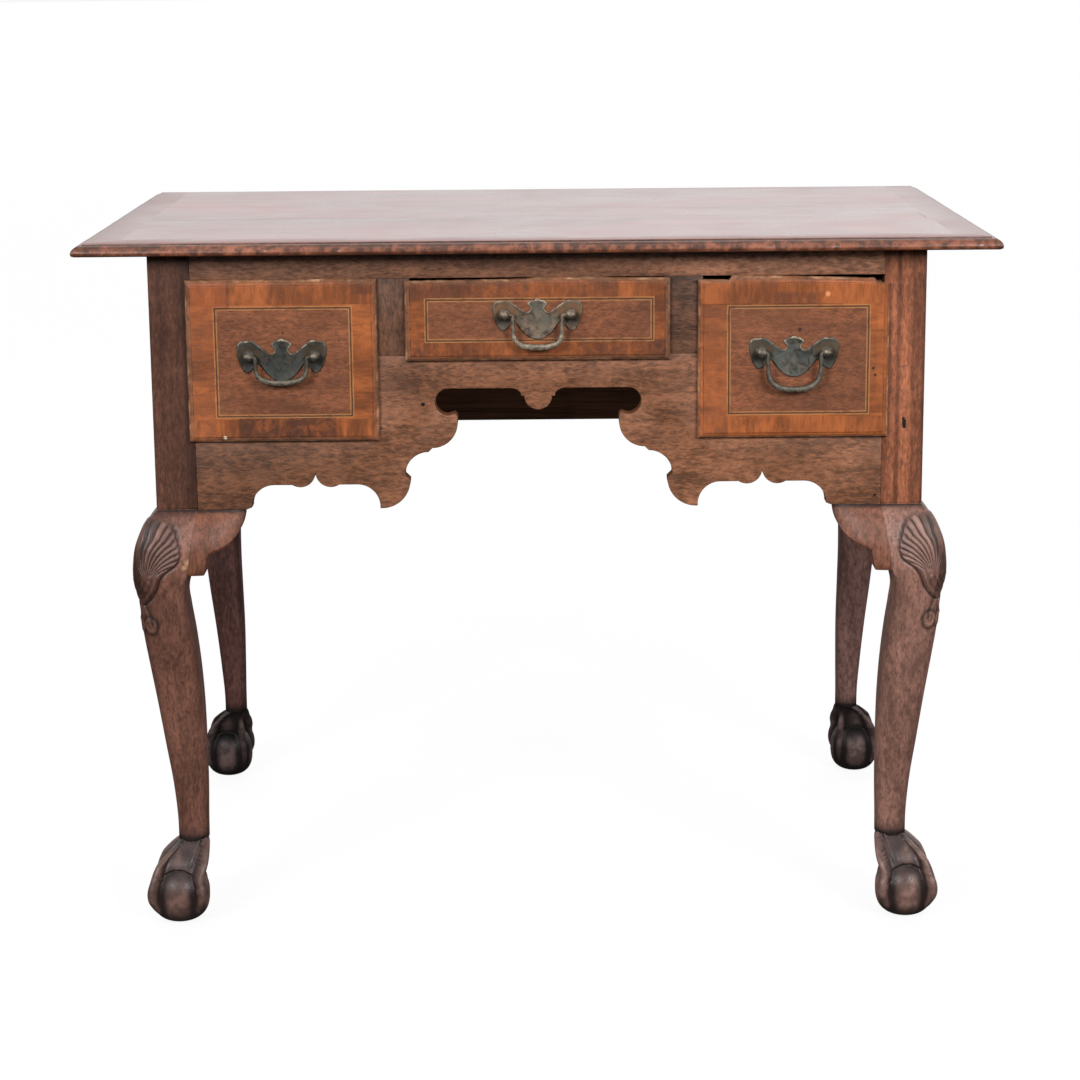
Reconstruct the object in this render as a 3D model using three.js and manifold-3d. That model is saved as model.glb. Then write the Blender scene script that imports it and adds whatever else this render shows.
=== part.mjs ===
// Lowboy on cabriole legs: three lipped drawers over a shaped apron.
// Millimetres. +Z is up, the front faces -Y, the middle of the floor plan is the origin.

import * as THREE from 'three';
import { mergeVertices } from 'three/addons/utils/BufferGeometryUtils.js';
import Module from 'manifold-3d';

const wasm = await Module();
wasm.setup();

// Overall sizes.
const TOP_WIDTH = 920;
const TOP_DEPTH = 552;
const HEIGHT = 718.5;
const TOP_THICKNESS = 12.5;
const SIDE_OVERHANG = 70;
const FRONT_OVERHANG = 34;
const BACK_OVERHANG = 30;

// The top: two boards in a mitred border with a thumb-moulded edge.
const BORDER_WIDTH = 44;
const FRONT_BOARD_WIDTH = 190;
const EDGE_QUIRK = 1.5;
const EDGE_RUN = 10;
const EDGE_TIP_RISE = 3;
const EDGE_FOOT_RUN = 3;

// The carcase boards.
const POST_SIZE = 42;
const FRONT_THICKNESS = 20;
const SIDE_THICKNESS = 16;
const BACK_THICKNESS = 14;
const BACK_RECESS = 2;
const BACK_RISE = 3;

// The drawer openings and the apron board below them.
const TOP_RAIL_HEIGHT = 27.5;
const SIDE_OPENING_HEIGHT = 159.5;
const CENTER_OPENING_HEIGHT = 78.5;
const CENTER_OPENING_HALF = 128;
const DIVIDER_WIDTH = 38;
const APRON_HEIGHT = 76;

// The apron: pendant, slots, lobes and coves from the middle outwards.
const SLOT_DROP = 34;
const PENDANT_RADIUS = 14;
const PENDANT_STEP = 3;
const PENDANT_COVE_RUN = 10.5;
const PENDANT_COVE_RISE = 8;
const SLOT_END_STEP = 8.7;
const SLOT_END_RADIUS = 13.8;
const SLOT_HOOK_RUN = 6;
const SLOT_HOOK_RISE = 2;
const ARCH_TOP_HALF = 81.8;
const UPPER_LOBE_RUN = 26;
const UPPER_STEP = 4;
const UPPER_COVE_RUN = 24;
const LOWER_HOOK = 5;
const LOWER_LOBE_RUN = 29;
const LOWER_FLAT = 2;
const SIDE_ARCH_RISE = 25;
const SIDE_COVE_RISE = 23;
const SIDE_COVE_RUN = 23;
const CUSP_RISE = 15.5;
const CUSP_DROP = 2.5;
const EAR_STEP = 5;
const EAR_LEDGE = 2.8;

// The front's side arch: the runs of its cove and of its cusp, as shares of half the arch.
const ARCH_COVE_SHARE = 0.352;
const ARCH_CUSP_SHARE = 0.237;

// Heights up the centre arch's edge, as shares of its rise from the knee line to the slots.
const LOWER_LOBE_SHARE = 0.304;
const COVE_FOOT_SHARE = 0.356;
const COVE_TOP_SHARE = 0.608;
const UPPER_LOBE_FOOT_SHARE = 0.65;
const UPPER_LOBE_TOP_SHARE = 0.922;

// The legs: distances from the carcase corner, outwards and inwards, at each height.
const KNEE_HEIGHT = 68;
const KNEE_TAPER = 11;
const KNEE_SETBACK = 0.3;
const ROOT_HEIGHT = 8;
const ROOT_INSET = 2;
const FRONT_KNEE_BULGE = 24;
const REAR_KNEE_BULGE = 24;
const ANKLE_HEIGHT = 84;

// The feet: a ball held by four claws.
const BALL_RADIUS = 27;
const BALL_HALF_HEIGHT = 29.5;
const BALL_CENTER_HEIGHT = 28.5;
const FRONT_FOOT_SETBACK = 6.5;
const REAR_FOOT_SETBACK = 1;
const REAR_FOOT_SHARE = 0.9;
const PALM_SEAT = 10;
const CLAW_REACH = 32;
const FRONT_CLAW_HEIGHT = 76;
const REAR_CLAW_HEIGHT = 74;
const CLAW_HALF_WIDTH = 7;
const CLAW_HALF_DEPTH = 8.5;
const FLOOR_CUT = 20;

// The knee brackets.
const BRACKET_REACH = 47.5;
const BRACKET_HEIGHT = 64;
const BRACKET_THICKNESS = 22;
const BRACKET_LOBE_RUN = 37.5;
const BRACKET_LOBE_DROP = 42;
const BRACKET_TAIL = 1;

// Runners, guides and kickers inside the carcase.
const RUNNER_HEIGHT = 20;
const RUNNER_WIDTH = 20;
const GUIDE_HEIGHT = 15;
const GUIDE_GAP = 0.5;
const KICKER_HEIGHT = 20;

// The drawers.
const LIP_THICKNESS = 8;
const LIP_OVERLAP = 5;
const LIP_TOP_GAP = 1.5;
const LIP_GAP = 0.3;
const LIP_EDGE = 2;
const LIP_ROUND = 5.5;
const LIP_QUIRK = 0.8;
const DRAWER_FRONT_THICKNESS = 16;
const DRAWER_SIDE_THICKNESS = 9;
const DRAWER_BOTTOM_THICKNESS = 6;
const DRAWER_BOTTOM_RISE = 7;
const DRAWER_GROOVE = 4;
const DRAWER_SIDE_PLAY = 0.8;
const DRAWER_TOP_PLAY = 8;
const DRAWER_FOOT_GAP = 0.3;
const DRAWER_BACK_GAP = 8;
const FIT_GAP = 0.2;

// The handles.
const HANDLE_RISE = 3.75;
const POST_SPACING = 66;
const PLATE_THICKNESS = 1.6;
const PLATE_HALF_WIDTH = 46;
const PLATE_CROWN = 16.5;
const PLATE_BELLY = 26;
const STUD_RADIUS = 2.6;
const STUD_GAP = 0.3;
const STUD_COLLAR_RADIUS = 5.4;
const STUD_COLLAR_HEIGHT = 1.4;
const STUD_NECK_RADIUS = 3.2;
const STUD_HEAD_RADIUS = 5;
const PIN_STANDOFF = 9.5;
const PIN_RADIUS = 1.9;
const PIN_GAP = 0.3;
const NUT_RADIUS = 5.5;
const NUT_HEIGHT = 4;
const BAIL_SIDE_GAP = 0.8;
const BAIL_PIN_REACH = 4;
const LEFT_BAIL_DROP = 27.5;
const CENTER_BAIL_DROP = 32.5;
const RIGHT_BAIL_DROP = 37;
const BAIL_ARM_DROP = 12;
const BAIL_ROD_RADIUS = 2.2;
const BAIL_GRIP_RADIUS = 3.2;
const BAIL_BEND = 2.4;

// Facet counts.
const ARC_STEPS = 5;
const CORNER_STEPS = 3;
const EDGE_STEPS = 4;
const BALL_SIDES = 16;
const BALL_RINGS = 10;
const STUD_SIDES = 12;
const ROD_SIDES = 8;
const CLAW_SIDES = 6;
const GRIP_STEPS = 14;

// Planes that the pieces share.
const TOP_UNDERSIDE = HEIGHT - TOP_THICKNESS;
const CASE_SIDE = TOP_WIDTH / 2 - SIDE_OVERHANG;
const CASE_FRONT = -TOP_DEPTH / 2 + FRONT_OVERHANG;
const CASE_BACK = TOP_DEPTH / 2 - BACK_OVERHANG;
const POST_INNER = CASE_SIDE - POST_SIZE;
const PANEL_INNER = CASE_SIDE - SIDE_THICKNESS;
const FRONT_INNER = CASE_FRONT + FRONT_THICKNESS;
const FRONT_POST_REAR = CASE_FRONT + POST_SIZE;
const REAR_POST_FRONT = CASE_BACK - POST_SIZE;
const BACK_OUTER = CASE_BACK - BACK_RECESS;
const BACK_INNER = BACK_OUTER - BACK_THICKNESS;
const OPENING_TOP = TOP_UNDERSIDE - TOP_RAIL_HEIGHT;
const SIDE_OPENING_BOTTOM = OPENING_TOP - SIDE_OPENING_HEIGHT;
const CENTER_OPENING_BOTTOM = OPENING_TOP - CENTER_OPENING_HEIGHT;
const KNEE_LINE = SIDE_OPENING_BOTTOM - APRON_HEIGHT;
const DIVIDER_OUTER = CENTER_OPENING_HALF + DIVIDER_WIDTH;
const DRAWER_REAR = BACK_INNER - DRAWER_BACK_GAP;
const LIP_BACK = CASE_FRONT - LIP_GAP;
const LIP_FRONT = LIP_BACK - LIP_THICKNESS;
const BAIL_HALF_WIDTH = POST_SPACING / 2 - STUD_HEAD_RADIUS - BAIL_SIDE_GAP - BAIL_ROD_RADIUS;
const QUARTER = Math.PI / 2;

// Colours.
const CASE_BROWN = 0x6b4a38;
const APRON_BROWN = 0x82604a;
const FRONT_BROWN = 0x835139;
const BORDER_BROWN = 0xa06040;
const LEG_BROWN = 0x5f4234;
const INNER_OAK = 0x9a7b58;
const OLD_BRASS = 0x4a4c46;

// Small geometry helpers.

function box(x, y, z) {
  const geometry = new THREE.BoxGeometry(x[1] - x[0], y[1] - y[0], z[1] - z[0]);
  geometry.translate((x[0] + x[1]) / 2, (y[0] + y[1]) / 2, (z[0] + z[1]) / 2);
  return geometry;
}

function prism(points, depth) {
  const shape = new THREE.Shape(points.map(([a, b]) => new THREE.Vector2(a, b)));
  return new THREE.ExtrudeGeometry(shape, { depth, bevelEnabled: false, curveSegments: 1 });
}

// A front-view outline in x and z, cut from a board between two y planes.
function frontPrism(points, y) {
  const geometry = prism(points, y[1] - y[0]);
  geometry.rotateX(QUARTER);
  geometry.translate(0, y[1], 0);
  return geometry;
}

// A side-view outline in y and z, cut from a board between two x planes.
function sidePrism(points, x) {
  const geometry = prism(points, x[1] - x[0]);
  const turn = new THREE.Matrix4().makeBasis(
    new THREE.Vector3(0, 1, 0),
    new THREE.Vector3(0, 0, 1),
    new THREE.Vector3(1, 0, 0),
  );
  geometry.applyMatrix4(turn);
  geometry.translate(x[0], 0, 0);
  return geometry;
}

// Points on an elliptical arc; angles in quarter turns from the first axis.
function arc(center, radii, from, to, steps = ARC_STEPS) {
  const points = [];
  for (let i = 0; i <= steps; i += 1) {
    const angle = QUARTER * (from + ((to - from) * i) / steps);
    const a = center[0] + radii[0] * Math.cos(angle);
    const b = center[1] + radii[1] * Math.sin(angle);
    points.push([a, b]);
  }
  return points;
}

function oval(center, radii, sides) {
  return arc(center, radii, 0, 4, sides).slice(0, sides);
}

// A closed skin through rings of equal point count, with a fan on each end.
function loft(rings) {
  const count = rings[0].length;
  const vertices = [];
  const faces = [];
  for (const ring of rings) {
    for (const point of ring) {
      vertices.push(...point);
    }
  }
  for (let r = 0; r + 1 < rings.length; r += 1) {
    for (let i = 0; i < count; i += 1) {
      const a = r * count + i;
      const b = r * count + ((i + 1) % count);
      faces.push(a, b, b + count);
      faces.push(a, b + count, a + count);
    }
  }
  const last = (rings.length - 1) * count;
  for (const [start, flip] of [[0, true], [last, false]]) {
    const ring = rings[start / count];
    const middle = [0, 1, 2].map((k) => ring.reduce((sum, point) => sum + point[k], 0) / count);
    const center = vertices.length / 3;
    vertices.push(...middle);
    for (let i = 0; i < count; i += 1) {
      const a = start + i;
      const b = start + ((i + 1) % count);
      faces.push(...(flip ? [center, b, a] : [center, a, b]));
    }
  }
  const geometry = new THREE.BufferGeometry();
  geometry.setAttribute('position', new THREE.Float32BufferAttribute(vertices, 3));
  geometry.setIndex(faces);
  return geometry;
}

function plain(geometry) {
  const copy = geometry.index ? geometry.toNonIndexed() : geometry.clone();
  copy.deleteAttribute('normal');
  copy.deleteAttribute('uv');
  return mergeVertices(copy);
}

// The mirror image across the x = 0 plane, with its faces turned to stay outward.
function mirrored(geometry) {
  const copy = plain(geometry);
  copy.scale(-1, 1, 1);
  const index = Array.from(copy.index.array);
  for (let i = 0; i < index.length; i += 3) {
    [index[i], index[i + 1]] = [index[i + 1], index[i]];
  }
  copy.setIndex(index);
  return copy;
}

function toSolid(geometry) {
  const source = plain(geometry);
  return new wasm.Manifold(new wasm.Mesh({
    numProp: 3,
    vertProperties: new Float32Array(source.attributes.position.array),
    triVerts: new Uint32Array(source.index.array),
  }));
}

function fromSolid(solid) {
  const mesh = solid.getMesh();
  const geometry = new THREE.BufferGeometry();
  geometry.setAttribute('position', new THREE.BufferAttribute(new Float32Array(mesh.vertProperties), 3));
  geometry.setIndex(Array.from(mesh.triVerts));
  return geometry;
}

function joined(first, ...others) {
  return fromSolid(others.reduce((solid, other) => solid.add(toSolid(other)), toSolid(first)));
}

function cut(first, ...others) {
  return fromSolid(others.reduce((solid, other) => solid.subtract(toSolid(other)), toSolid(first)));
}

// A round bar along y.
function barAlongY(radius, x, z, y, sides = STUD_SIDES) {
  const geometry = new THREE.CylinderGeometry(radius, radius, y[1] - y[0], sides);
  geometry.translate(x, (y[0] + y[1]) / 2, z);
  return geometry;
}

// The scene.

const lowboy = new THREE.Group();
lowboy.name = 'lowboy';

function addPiece(name, geometry, color, roughness = 0.5, metalness = 0) {
  const material = new THREE.MeshStandardMaterial({ color, roughness, metalness });
  material.name = name;
  const mesh = new THREE.Mesh(geometry, material);
  mesh.name = name;
  lowboy.add(mesh);
}

function addPair(name, geometry, color) {
  addPiece(`${name}_right`, geometry, color);
  addPiece(`${name}_left`, mirrored(geometry), color);
}

// The top. Each border profile point is a setback from the outer edge and a height.

function borderProfile() {
  const tip = TOP_UNDERSIDE + EDGE_TIP_RISE;
  const shoulder = HEIGHT - EDGE_QUIRK;
  const thumb = arc([EDGE_RUN, tip], [EDGE_RUN, shoulder - tip], 2, 1, EDGE_STEPS);
  return [
    [BORDER_WIDTH, TOP_UNDERSIDE],
    [BORDER_WIDTH, HEIGHT],
    [EDGE_RUN, HEIGHT],
    ...thumb.reverse(),
    [EDGE_FOOT_RUN, TOP_UNDERSIDE],
  ];
}

function addTop() {
  const edge = TOP_WIDTH / 2;
  const front = -TOP_DEPTH / 2;
  const back = TOP_DEPTH / 2;
  const profile = borderProfile();
  const left = profile.map(([setback, z]) => [-edge + setback, front + setback, z]);
  const right = profile.map(([setback, z]) => [edge - setback, front + setback, z]);
  const rear = profile.map(([setback, z]) => [edge - setback, back, z]);
  addPiece('top_border_front', loft([left, right]), BORDER_BROWN);
  addPair('top_border', loft([right, rear]), BORDER_BROWN);

  const half = edge - BORDER_WIDTH;
  const seam = front + BORDER_WIDTH + FRONT_BOARD_WIDTH;
  const height = [TOP_UNDERSIDE, HEIGHT];
  addPiece('top_board_front', box([-half, half], [front + BORDER_WIDTH, seam], height), FRONT_BROWN);
  addPiece('top_board_rear', box([-half, half], [seam, back], height), FRONT_BROWN);
}

// The apron, drawn from the middle to the right and mirrored.

function cuspedArch(start, end, baseline) {
  const half = (end - start) / 2;
  const middle = start + half;
  const top = baseline + SIDE_ARCH_RISE;
  const coveRun = half * ARCH_COVE_SHARE;
  const cuspRun = half * ARCH_CUSP_SHARE;
  const beadTop = top - CUSP_DROP + CUSP_RISE;
  const lean = Math.acos(1 - CUSP_DROP / CUSP_RISE) / QUARTER;
  const rising = [
    ...arc([start + coveRun, top - SIDE_COVE_RISE], [coveRun, SIDE_COVE_RISE], 2, 1),
    ...arc([middle - cuspRun, beadTop], [cuspRun, CUSP_RISE], 3 - lean, 4),
  ];
  const falling = rising.slice(0, -1).map(([x, z]) => [2 * middle - x, z]).reverse();
  return [...rising, ...falling];
}

function apronHalf() {
  const slotTop = CENTER_OPENING_BOTTOM - SLOT_DROP;
  const pendantBase = slotTop - PENDANT_COVE_RISE;
  const coveStart = PENDANT_RADIUS + PENDANT_STEP;
  const pendantCove = [PENDANT_COVE_RUN, PENDANT_COVE_RISE];
  const slotMiddle = slotTop - SLOT_END_RADIUS;
  const hookFoot = slotMiddle - SLOT_END_RADIUS;
  const slotEnd = ARCH_TOP_HALF + SLOT_END_STEP;
  const rise = hookFoot - KNEE_LINE;
  const upperLobe = [ARCH_TOP_HALF + UPPER_LOBE_RUN, KNEE_LINE + rise * UPPER_LOBE_TOP_SHARE];
  const upperLobeRise = rise * (UPPER_LOBE_TOP_SHARE - UPPER_LOBE_FOOT_SHARE);
  const upperCove = [upperLobe[0] + UPPER_STEP, KNEE_LINE + rise * COVE_FOOT_SHARE];
  const upperCoveRise = rise * (COVE_TOP_SHARE - COVE_FOOT_SHARE);
  const lowerLobeRise = rise * LOWER_LOBE_SHARE;
  const lowerEdge = upperCove[0] + UPPER_COVE_RUN - LOWER_HOOK;
  const lowerLobe = [lowerEdge + LOWER_LOBE_RUN, KNEE_LINE + lowerLobeRise];
  const archStart = lowerLobe[0] + LOWER_FLAT;
  const archEnd = POST_INNER - BRACKET_REACH - EAR_LEDGE - EAR_STEP;
  return [
    ...arc([0, pendantBase], [PENDANT_RADIUS, PENDANT_RADIUS], 3, 4),
    ...arc([coveStart + PENDANT_COVE_RUN, pendantBase], pendantCove, 2, 1, CORNER_STEPS),
    ...arc([slotEnd, slotMiddle], [SLOT_END_RADIUS, SLOT_END_RADIUS], 1, -1, 2 * ARC_STEPS),
    [slotEnd - SLOT_HOOK_RUN, hookFoot + SLOT_HOOK_RISE],
    [ARCH_TOP_HALF, hookFoot],
    ...arc(upperLobe, [UPPER_LOBE_RUN, upperLobeRise], 2, 3),
    ...arc(upperCove, [UPPER_COVE_RUN, upperCoveRise], 1, 0),
    ...arc(lowerLobe, [LOWER_LOBE_RUN, lowerLobeRise], 2, 3),
    [archStart, KNEE_LINE],
    ...cuspedArch(archStart, archEnd, KNEE_LINE),
    [archEnd + EAR_STEP, KNEE_LINE],
    [POST_INNER, KNEE_LINE],
    [POST_INNER, SIDE_OPENING_BOTTOM],
    [DIVIDER_OUTER, SIDE_OPENING_BOTTOM],
    [DIVIDER_OUTER, CENTER_OPENING_BOTTOM],
  ];
}

function addFront() {
  const half = apronHalf();
  const outline = [...half, ...half.slice(1).map(([x, z]) => [-x, z]).reverse()];
  const thickness = [CASE_FRONT, FRONT_INNER];
  addPiece('front_apron', frontPrism(outline, thickness), APRON_BROWN);
  addPiece('top_rail', box([-POST_INNER, POST_INNER], thickness, [OPENING_TOP, TOP_UNDERSIDE]), CASE_BROWN);
  const divider = box([CENTER_OPENING_HALF, DIVIDER_OUTER], thickness, [CENTER_OPENING_BOTTOM, OPENING_TOP]);
  addPair('drawer_divider', divider, CASE_BROWN);
}

// Side and back boards.

function addSidesAndBack() {
  const top = KNEE_LINE + SIDE_ARCH_RISE;
  const cove = [SIDE_COVE_RUN, SIDE_COVE_RISE];
  const start = FRONT_POST_REAR + BRACKET_REACH + EAR_STEP;
  const end = REAR_POST_FRONT - BRACKET_REACH - EAR_STEP;
  const outline = [
    [FRONT_POST_REAR, KNEE_LINE],
    [start - EAR_STEP, KNEE_LINE],
    ...arc([start + SIDE_COVE_RUN, top - SIDE_COVE_RISE], cove, 2, 1),
    ...arc([end - SIDE_COVE_RUN, top - SIDE_COVE_RISE], cove, 1, 0),
    [end + EAR_STEP, KNEE_LINE],
    [REAR_POST_FRONT, KNEE_LINE],
    [REAR_POST_FRONT, TOP_UNDERSIDE],
    [FRONT_POST_REAR, TOP_UNDERSIDE],
  ];
  addPair('side_panel', sidePrism(outline, [PANEL_INNER, CASE_SIDE]), CASE_BROWN);
  const backHeight = [KNEE_LINE + BACK_RISE, TOP_UNDERSIDE];
  const back = box([-POST_INNER, POST_INNER], [BACK_INNER, BACK_OUTER], backHeight);
  addPiece('back_panel', back, INNER_OAK);
}

// Legs. A section is a rounded square between an outward and an inward distance from the corner.
// Knee rows: share of the knee's height, share of its bulge.
const KNEE_SHARES = [
  [0, 0],
  [0.09, 0.28],
  [0.2, 0.52],
  [0.33, 0.7],
  [0.5, 0.87],
  [0.76, 0.98],
  [1, 1],
];

// Shank rows: share of the height from the ankle to the knee's foot, then shares of the post's
// size outwards and inwards.
const FRONT_SHANK_SHARES = [
  [0.944, 0.545, 0.66],
  [0.884, 0.495, 0.7],
  [0.797, 0.43, 0.78],
  [0.674, 0.325, 0.865],
  [0.54, 0.2, 0.92],
  [0.364, 0.045, 0.94],
  [0.203, -0.095, 0.935],
  [0.062, -0.16, 0.91],
];

const REAR_SHANK_SHARES = [
  [0.944, 0.57, 0.64],
  [0.884, 0.54, 0.6],
  [0.797, 0.48, 0.58],
  [0.674, 0.4, 0.58],
  [0.54, 0.3, 0.61],
  [0.364, 0.15, 0.65],
  [0.203, 0.04, 0.65],
  [0.062, -0.03, 0.64],
];

// Palm rows: share of the height from the palm's rim on the ball to the ankle, then the same
// two shares of the post's size.
const FRONT_PALM_SHARES = [
  [1, -0.16, 0.91],
  [0.78, -0.02, 0.84],
  [0.36, 0.3, 0.72],
  [0, 0.37, 0.69],
];

const REAR_PALM_SHARES = [
  [1, -0.03, 0.64],
  [0.8, 0.08, 0.64],
  [0.4, 0.32, 0.64],
  [0, 0.38, 0.6],
];

// Roundness of the outer corner and of the other three, as shares of half a section, knee to ankle.
const KNEE_ROUND_SHARES = [0.55, 0.08];
const ANKLE_ROUND_SHARES = [0.85, 0.8];

function kneeInner(drop) {
  return POST_SIZE - (KNEE_TAPER * drop) / KNEE_HEIGHT;
}

function legStations(bulge, shankShares, palmShares, footShare) {
  const kneeFoot = KNEE_LINE - KNEE_HEIGHT;
  const rim = (BALL_CENTER_HEIGHT + BALL_HALF_HEIGHT - PALM_SEAT) * footShare;
  const stations = [{ z: KNEE_LINE + ROOT_HEIGHT, out: -ROOT_INSET, inner: POST_SIZE - ROOT_INSET }];
  for (const [dropShare, bulgeShare] of KNEE_SHARES) {
    const drop = dropShare * KNEE_HEIGHT;
    const setback = dropShare === 0 ? KNEE_SETBACK : 0;
    const out = bulge * bulgeShare - setback;
    stations.push({ z: KNEE_LINE - drop, out, inner: kneeInner(drop) - setback });
  }
  for (const [rows, low, high] of [[shankShares, ANKLE_HEIGHT, kneeFoot], [palmShares, rim, ANKLE_HEIGHT]]) {
    for (const [height, out, inner] of rows) {
      const z = THREE.MathUtils.lerp(low, high, height);
      stations.push({ z, out: out * POST_SIZE, inner: inner * POST_SIZE });
    }
  }
  return stations;
}

function legSection({ z, out, inner }) {
  const half = (out + inner) / 2;
  const middle = (out - inner) / 2;
  const kneeFoot = KNEE_LINE - KNEE_HEIGHT;
  const fall = THREE.MathUtils.clamp((kneeFoot - z) / (kneeFoot - ANKLE_HEIGHT), 0, 1);
  const ease = Math.sqrt(fall);
  const round = KNEE_ROUND_SHARES.map((knee, i) => THREE.MathUtils.lerp(knee, ANKLE_ROUND_SHARES[i], ease));
  const grown = THREE.MathUtils.clamp((KNEE_LINE - z) / KNEE_HEIGHT, 0, 1);
  const outerRound = half * THREE.MathUtils.lerp(KNEE_ROUND_SHARES[1], round[0], Math.sqrt(grown));
  const corners = [
    [1, 1, outerRound],
    [-1, 1, half * round[1]],
    [-1, -1, half * round[1]],
    [1, -1, half * round[1]],
  ];
  const ring = [];
  corners.forEach(([u, v, radius], quarter) => {
    const center = [middle + u * (half - radius), middle + v * (half - radius)];
    ring.push(...arc(center, [radius, radius], quarter, quarter + 1, CORNER_STEPS));
  });
  return ring.map(([u, v]) => [u, v, z]);
}

// Claw rows: share of the claw's height, shares of its reach, half width and half depth, and the
// share of the ankle's offset that the claw takes at that height.
const CLAW_SHARES = [
  [1, 0.53, 0.7, 0.8, 0.67],
  [0.8, 0.81, 0.75, 0.85, 0.26],
  [0.6, 0.94, 0.85, 0.9, 0.14],
  [0.46, 0.99, 0.95, 1, 0.05],
  [0.38, 1, 1, 1, 0],
  [0.21, 0.9, 0.85, 0.85, 0],
  [0.11, 0.72, 0.6, 0.6, 0],
  [0.04, 0.48, 0.3, 0.35, 0],
];

function claw(direction, lean, clawHeight) {
  const rings = CLAW_SHARES.map(([height, reach, width, depth, shift]) => {
    const radii = [CLAW_HALF_DEPTH * depth, CLAW_HALF_WIDTH * width];
    return oval([CLAW_REACH * reach, 0], radii, CLAW_SIDES).map(([radial, across]) => {
      const u = radial * Math.cos(direction) - across * Math.sin(direction) - lean * shift;
      const v = radial * Math.sin(direction) + across * Math.cos(direction) - lean * shift;
      return [u, v, clawHeight * height];
    });
  });
  return loft(rings.reverse());
}

function foot(lean, clawHeight) {
  const ball = new THREE.SphereGeometry(1, BALL_SIDES, BALL_RINGS);
  ball.rotateX(QUARTER);
  ball.scale(BALL_RADIUS, BALL_RADIUS, BALL_HALF_HEIGHT);
  ball.translate(0, 0, BALL_CENTER_HEIGHT);
  const claws = [0, 1, 2, 3].map((k) => claw(QUARTER * (k + 1 / 2), lean, clawHeight));
  return joined(ball, ...claws);
}

// A leg in corner coordinates: u and v are the distances outwards from the carcase corner.
function leg(bulge, shankShares, palmShares, setback, footShare, clawHeight) {
  const stations = legStations(bulge, shankShares, palmShares, footShare);
  const shank = loft(stations.map(legSection).reverse());
  const post = box([-POST_SIZE, 0], [-POST_SIZE, 0], [KNEE_LINE, TOP_UNDERSIDE]);
  const ankle = stations[stations.length - palmShares.length];
  const lean = (ankle.inner - ankle.out) / 2 - setback;
  const claws = foot(lean, clawHeight / footShare);
  claws.scale(footShare, footShare, footShare);
  claws.translate(-setback, -setback, 0);
  const reach = CLAW_REACH * 2;
  const floor = box([-reach - setback, reach], [-reach - setback, reach], [-FLOOR_CUT, 0]);
  return cut(joined(shank, post, claws), floor);
}

function addLegs() {
  const rear = leg(
    REAR_KNEE_BULGE,
    REAR_SHANK_SHARES,
    REAR_PALM_SHARES,
    REAR_FOOT_SETBACK,
    REAR_FOOT_SHARE,
    REAR_CLAW_HEIGHT,
  );
  rear.translate(CASE_SIDE, CASE_BACK, 0);
  addPair('leg_rear', rear, LEG_BROWN);
  const template = leg(
    FRONT_KNEE_BULGE,
    FRONT_SHANK_SHARES,
    FRONT_PALM_SHARES,
    FRONT_FOOT_SETBACK,
    1,
    FRONT_CLAW_HEIGHT,
  );
  const front = mirrored(template);
  front.rotateZ(2 * QUARTER);
  front.translate(CASE_SIDE, CASE_FRONT, 0);
  addPair('leg_front', front, LEG_BROWN);
}

// Knee brackets. The outline runs inwards from the post's inner face and downwards from the knee line.

function kneeBulge(drop, bulge) {
  const share = THREE.MathUtils.clamp(drop / KNEE_HEIGHT, 0, 1);
  const next = Math.max(1, KNEE_SHARES.findIndex(([at]) => at >= share));
  const [from, low] = KNEE_SHARES[next - 1];
  const [to, high] = KNEE_SHARES[next];
  return bulge * THREE.MathUtils.mapLinear(share, from, to, low, high);
}

function bracketOutline() {
  const lobeCenter = BRACKET_REACH - BRACKET_LOBE_RUN;
  const tailDrop = BRACKET_HEIGHT - BRACKET_LOBE_DROP;
  const glueLine = Array.from({ length: ARC_STEPS }, (_, k) => {
    const drop = (BRACKET_HEIGHT * (k + 1)) / ARC_STEPS;
    return [kneeInner(drop) - POST_SIZE, -drop];
  });
  return [
    [BRACKET_REACH, 0],
    [lobeCenter, 0],
    [0, 0],
    ...glueLine,
    [BRACKET_TAIL, -BRACKET_HEIGHT],
    ...arc([lobeCenter, -BRACKET_HEIGHT], [lobeCenter - BRACKET_TAIL, tailDrop], 2, 1).slice(1, -1),
    ...arc([lobeCenter, 0], [BRACKET_LOBE_RUN, BRACKET_LOBE_DROP], 3, 4).slice(0, -1),
  ];
}

// A bracket lies along +x from the post's inner face, with its show face towards -y at y = 0.
function bracket(bulge) {
  const outline = bracketOutline();
  const geometry = plain(frontPrism(outline, [0, BRACKET_THICKNESS]));
  const position = geometry.attributes.position;
  for (let i = 0; i < position.count; i += 1) {
    if (position.getY(i) < BRACKET_THICKNESS / 2) {
      const near = THREE.MathUtils.clamp(1 - position.getX(i) / BRACKET_REACH, 0, 1);
      position.setY(i, -kneeBulge(-position.getZ(i), bulge) * near);
    }
  }
  geometry.translate(0, 0, KNEE_LINE);
  return geometry;
}

function addBrackets() {
  const facingFront = bracket(FRONT_KNEE_BULGE);
  facingFront.translate(-POST_INNER, CASE_FRONT, 0);
  addPiece('bracket_front_left', facingFront, APRON_BROWN);
  addPiece('bracket_front_right', mirrored(facingFront), APRON_BROWN);

  const sideFront = bracket(FRONT_KNEE_BULGE);
  sideFront.rotateZ(QUARTER);
  sideFront.translate(CASE_SIDE, FRONT_POST_REAR, 0);
  addPair('bracket_side_front', sideFront, CASE_BROWN);

  const sideRear = mirrored(bracket(REAR_KNEE_BULGE));
  sideRear.rotateZ(QUARTER);
  sideRear.translate(CASE_SIDE, REAR_POST_FRONT, 0);
  addPair('bracket_side_rear', sideRear, CASE_BROWN);
}

// Runners carry the drawer sides, guides keep them straight and kickers stop them tipping.

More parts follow.
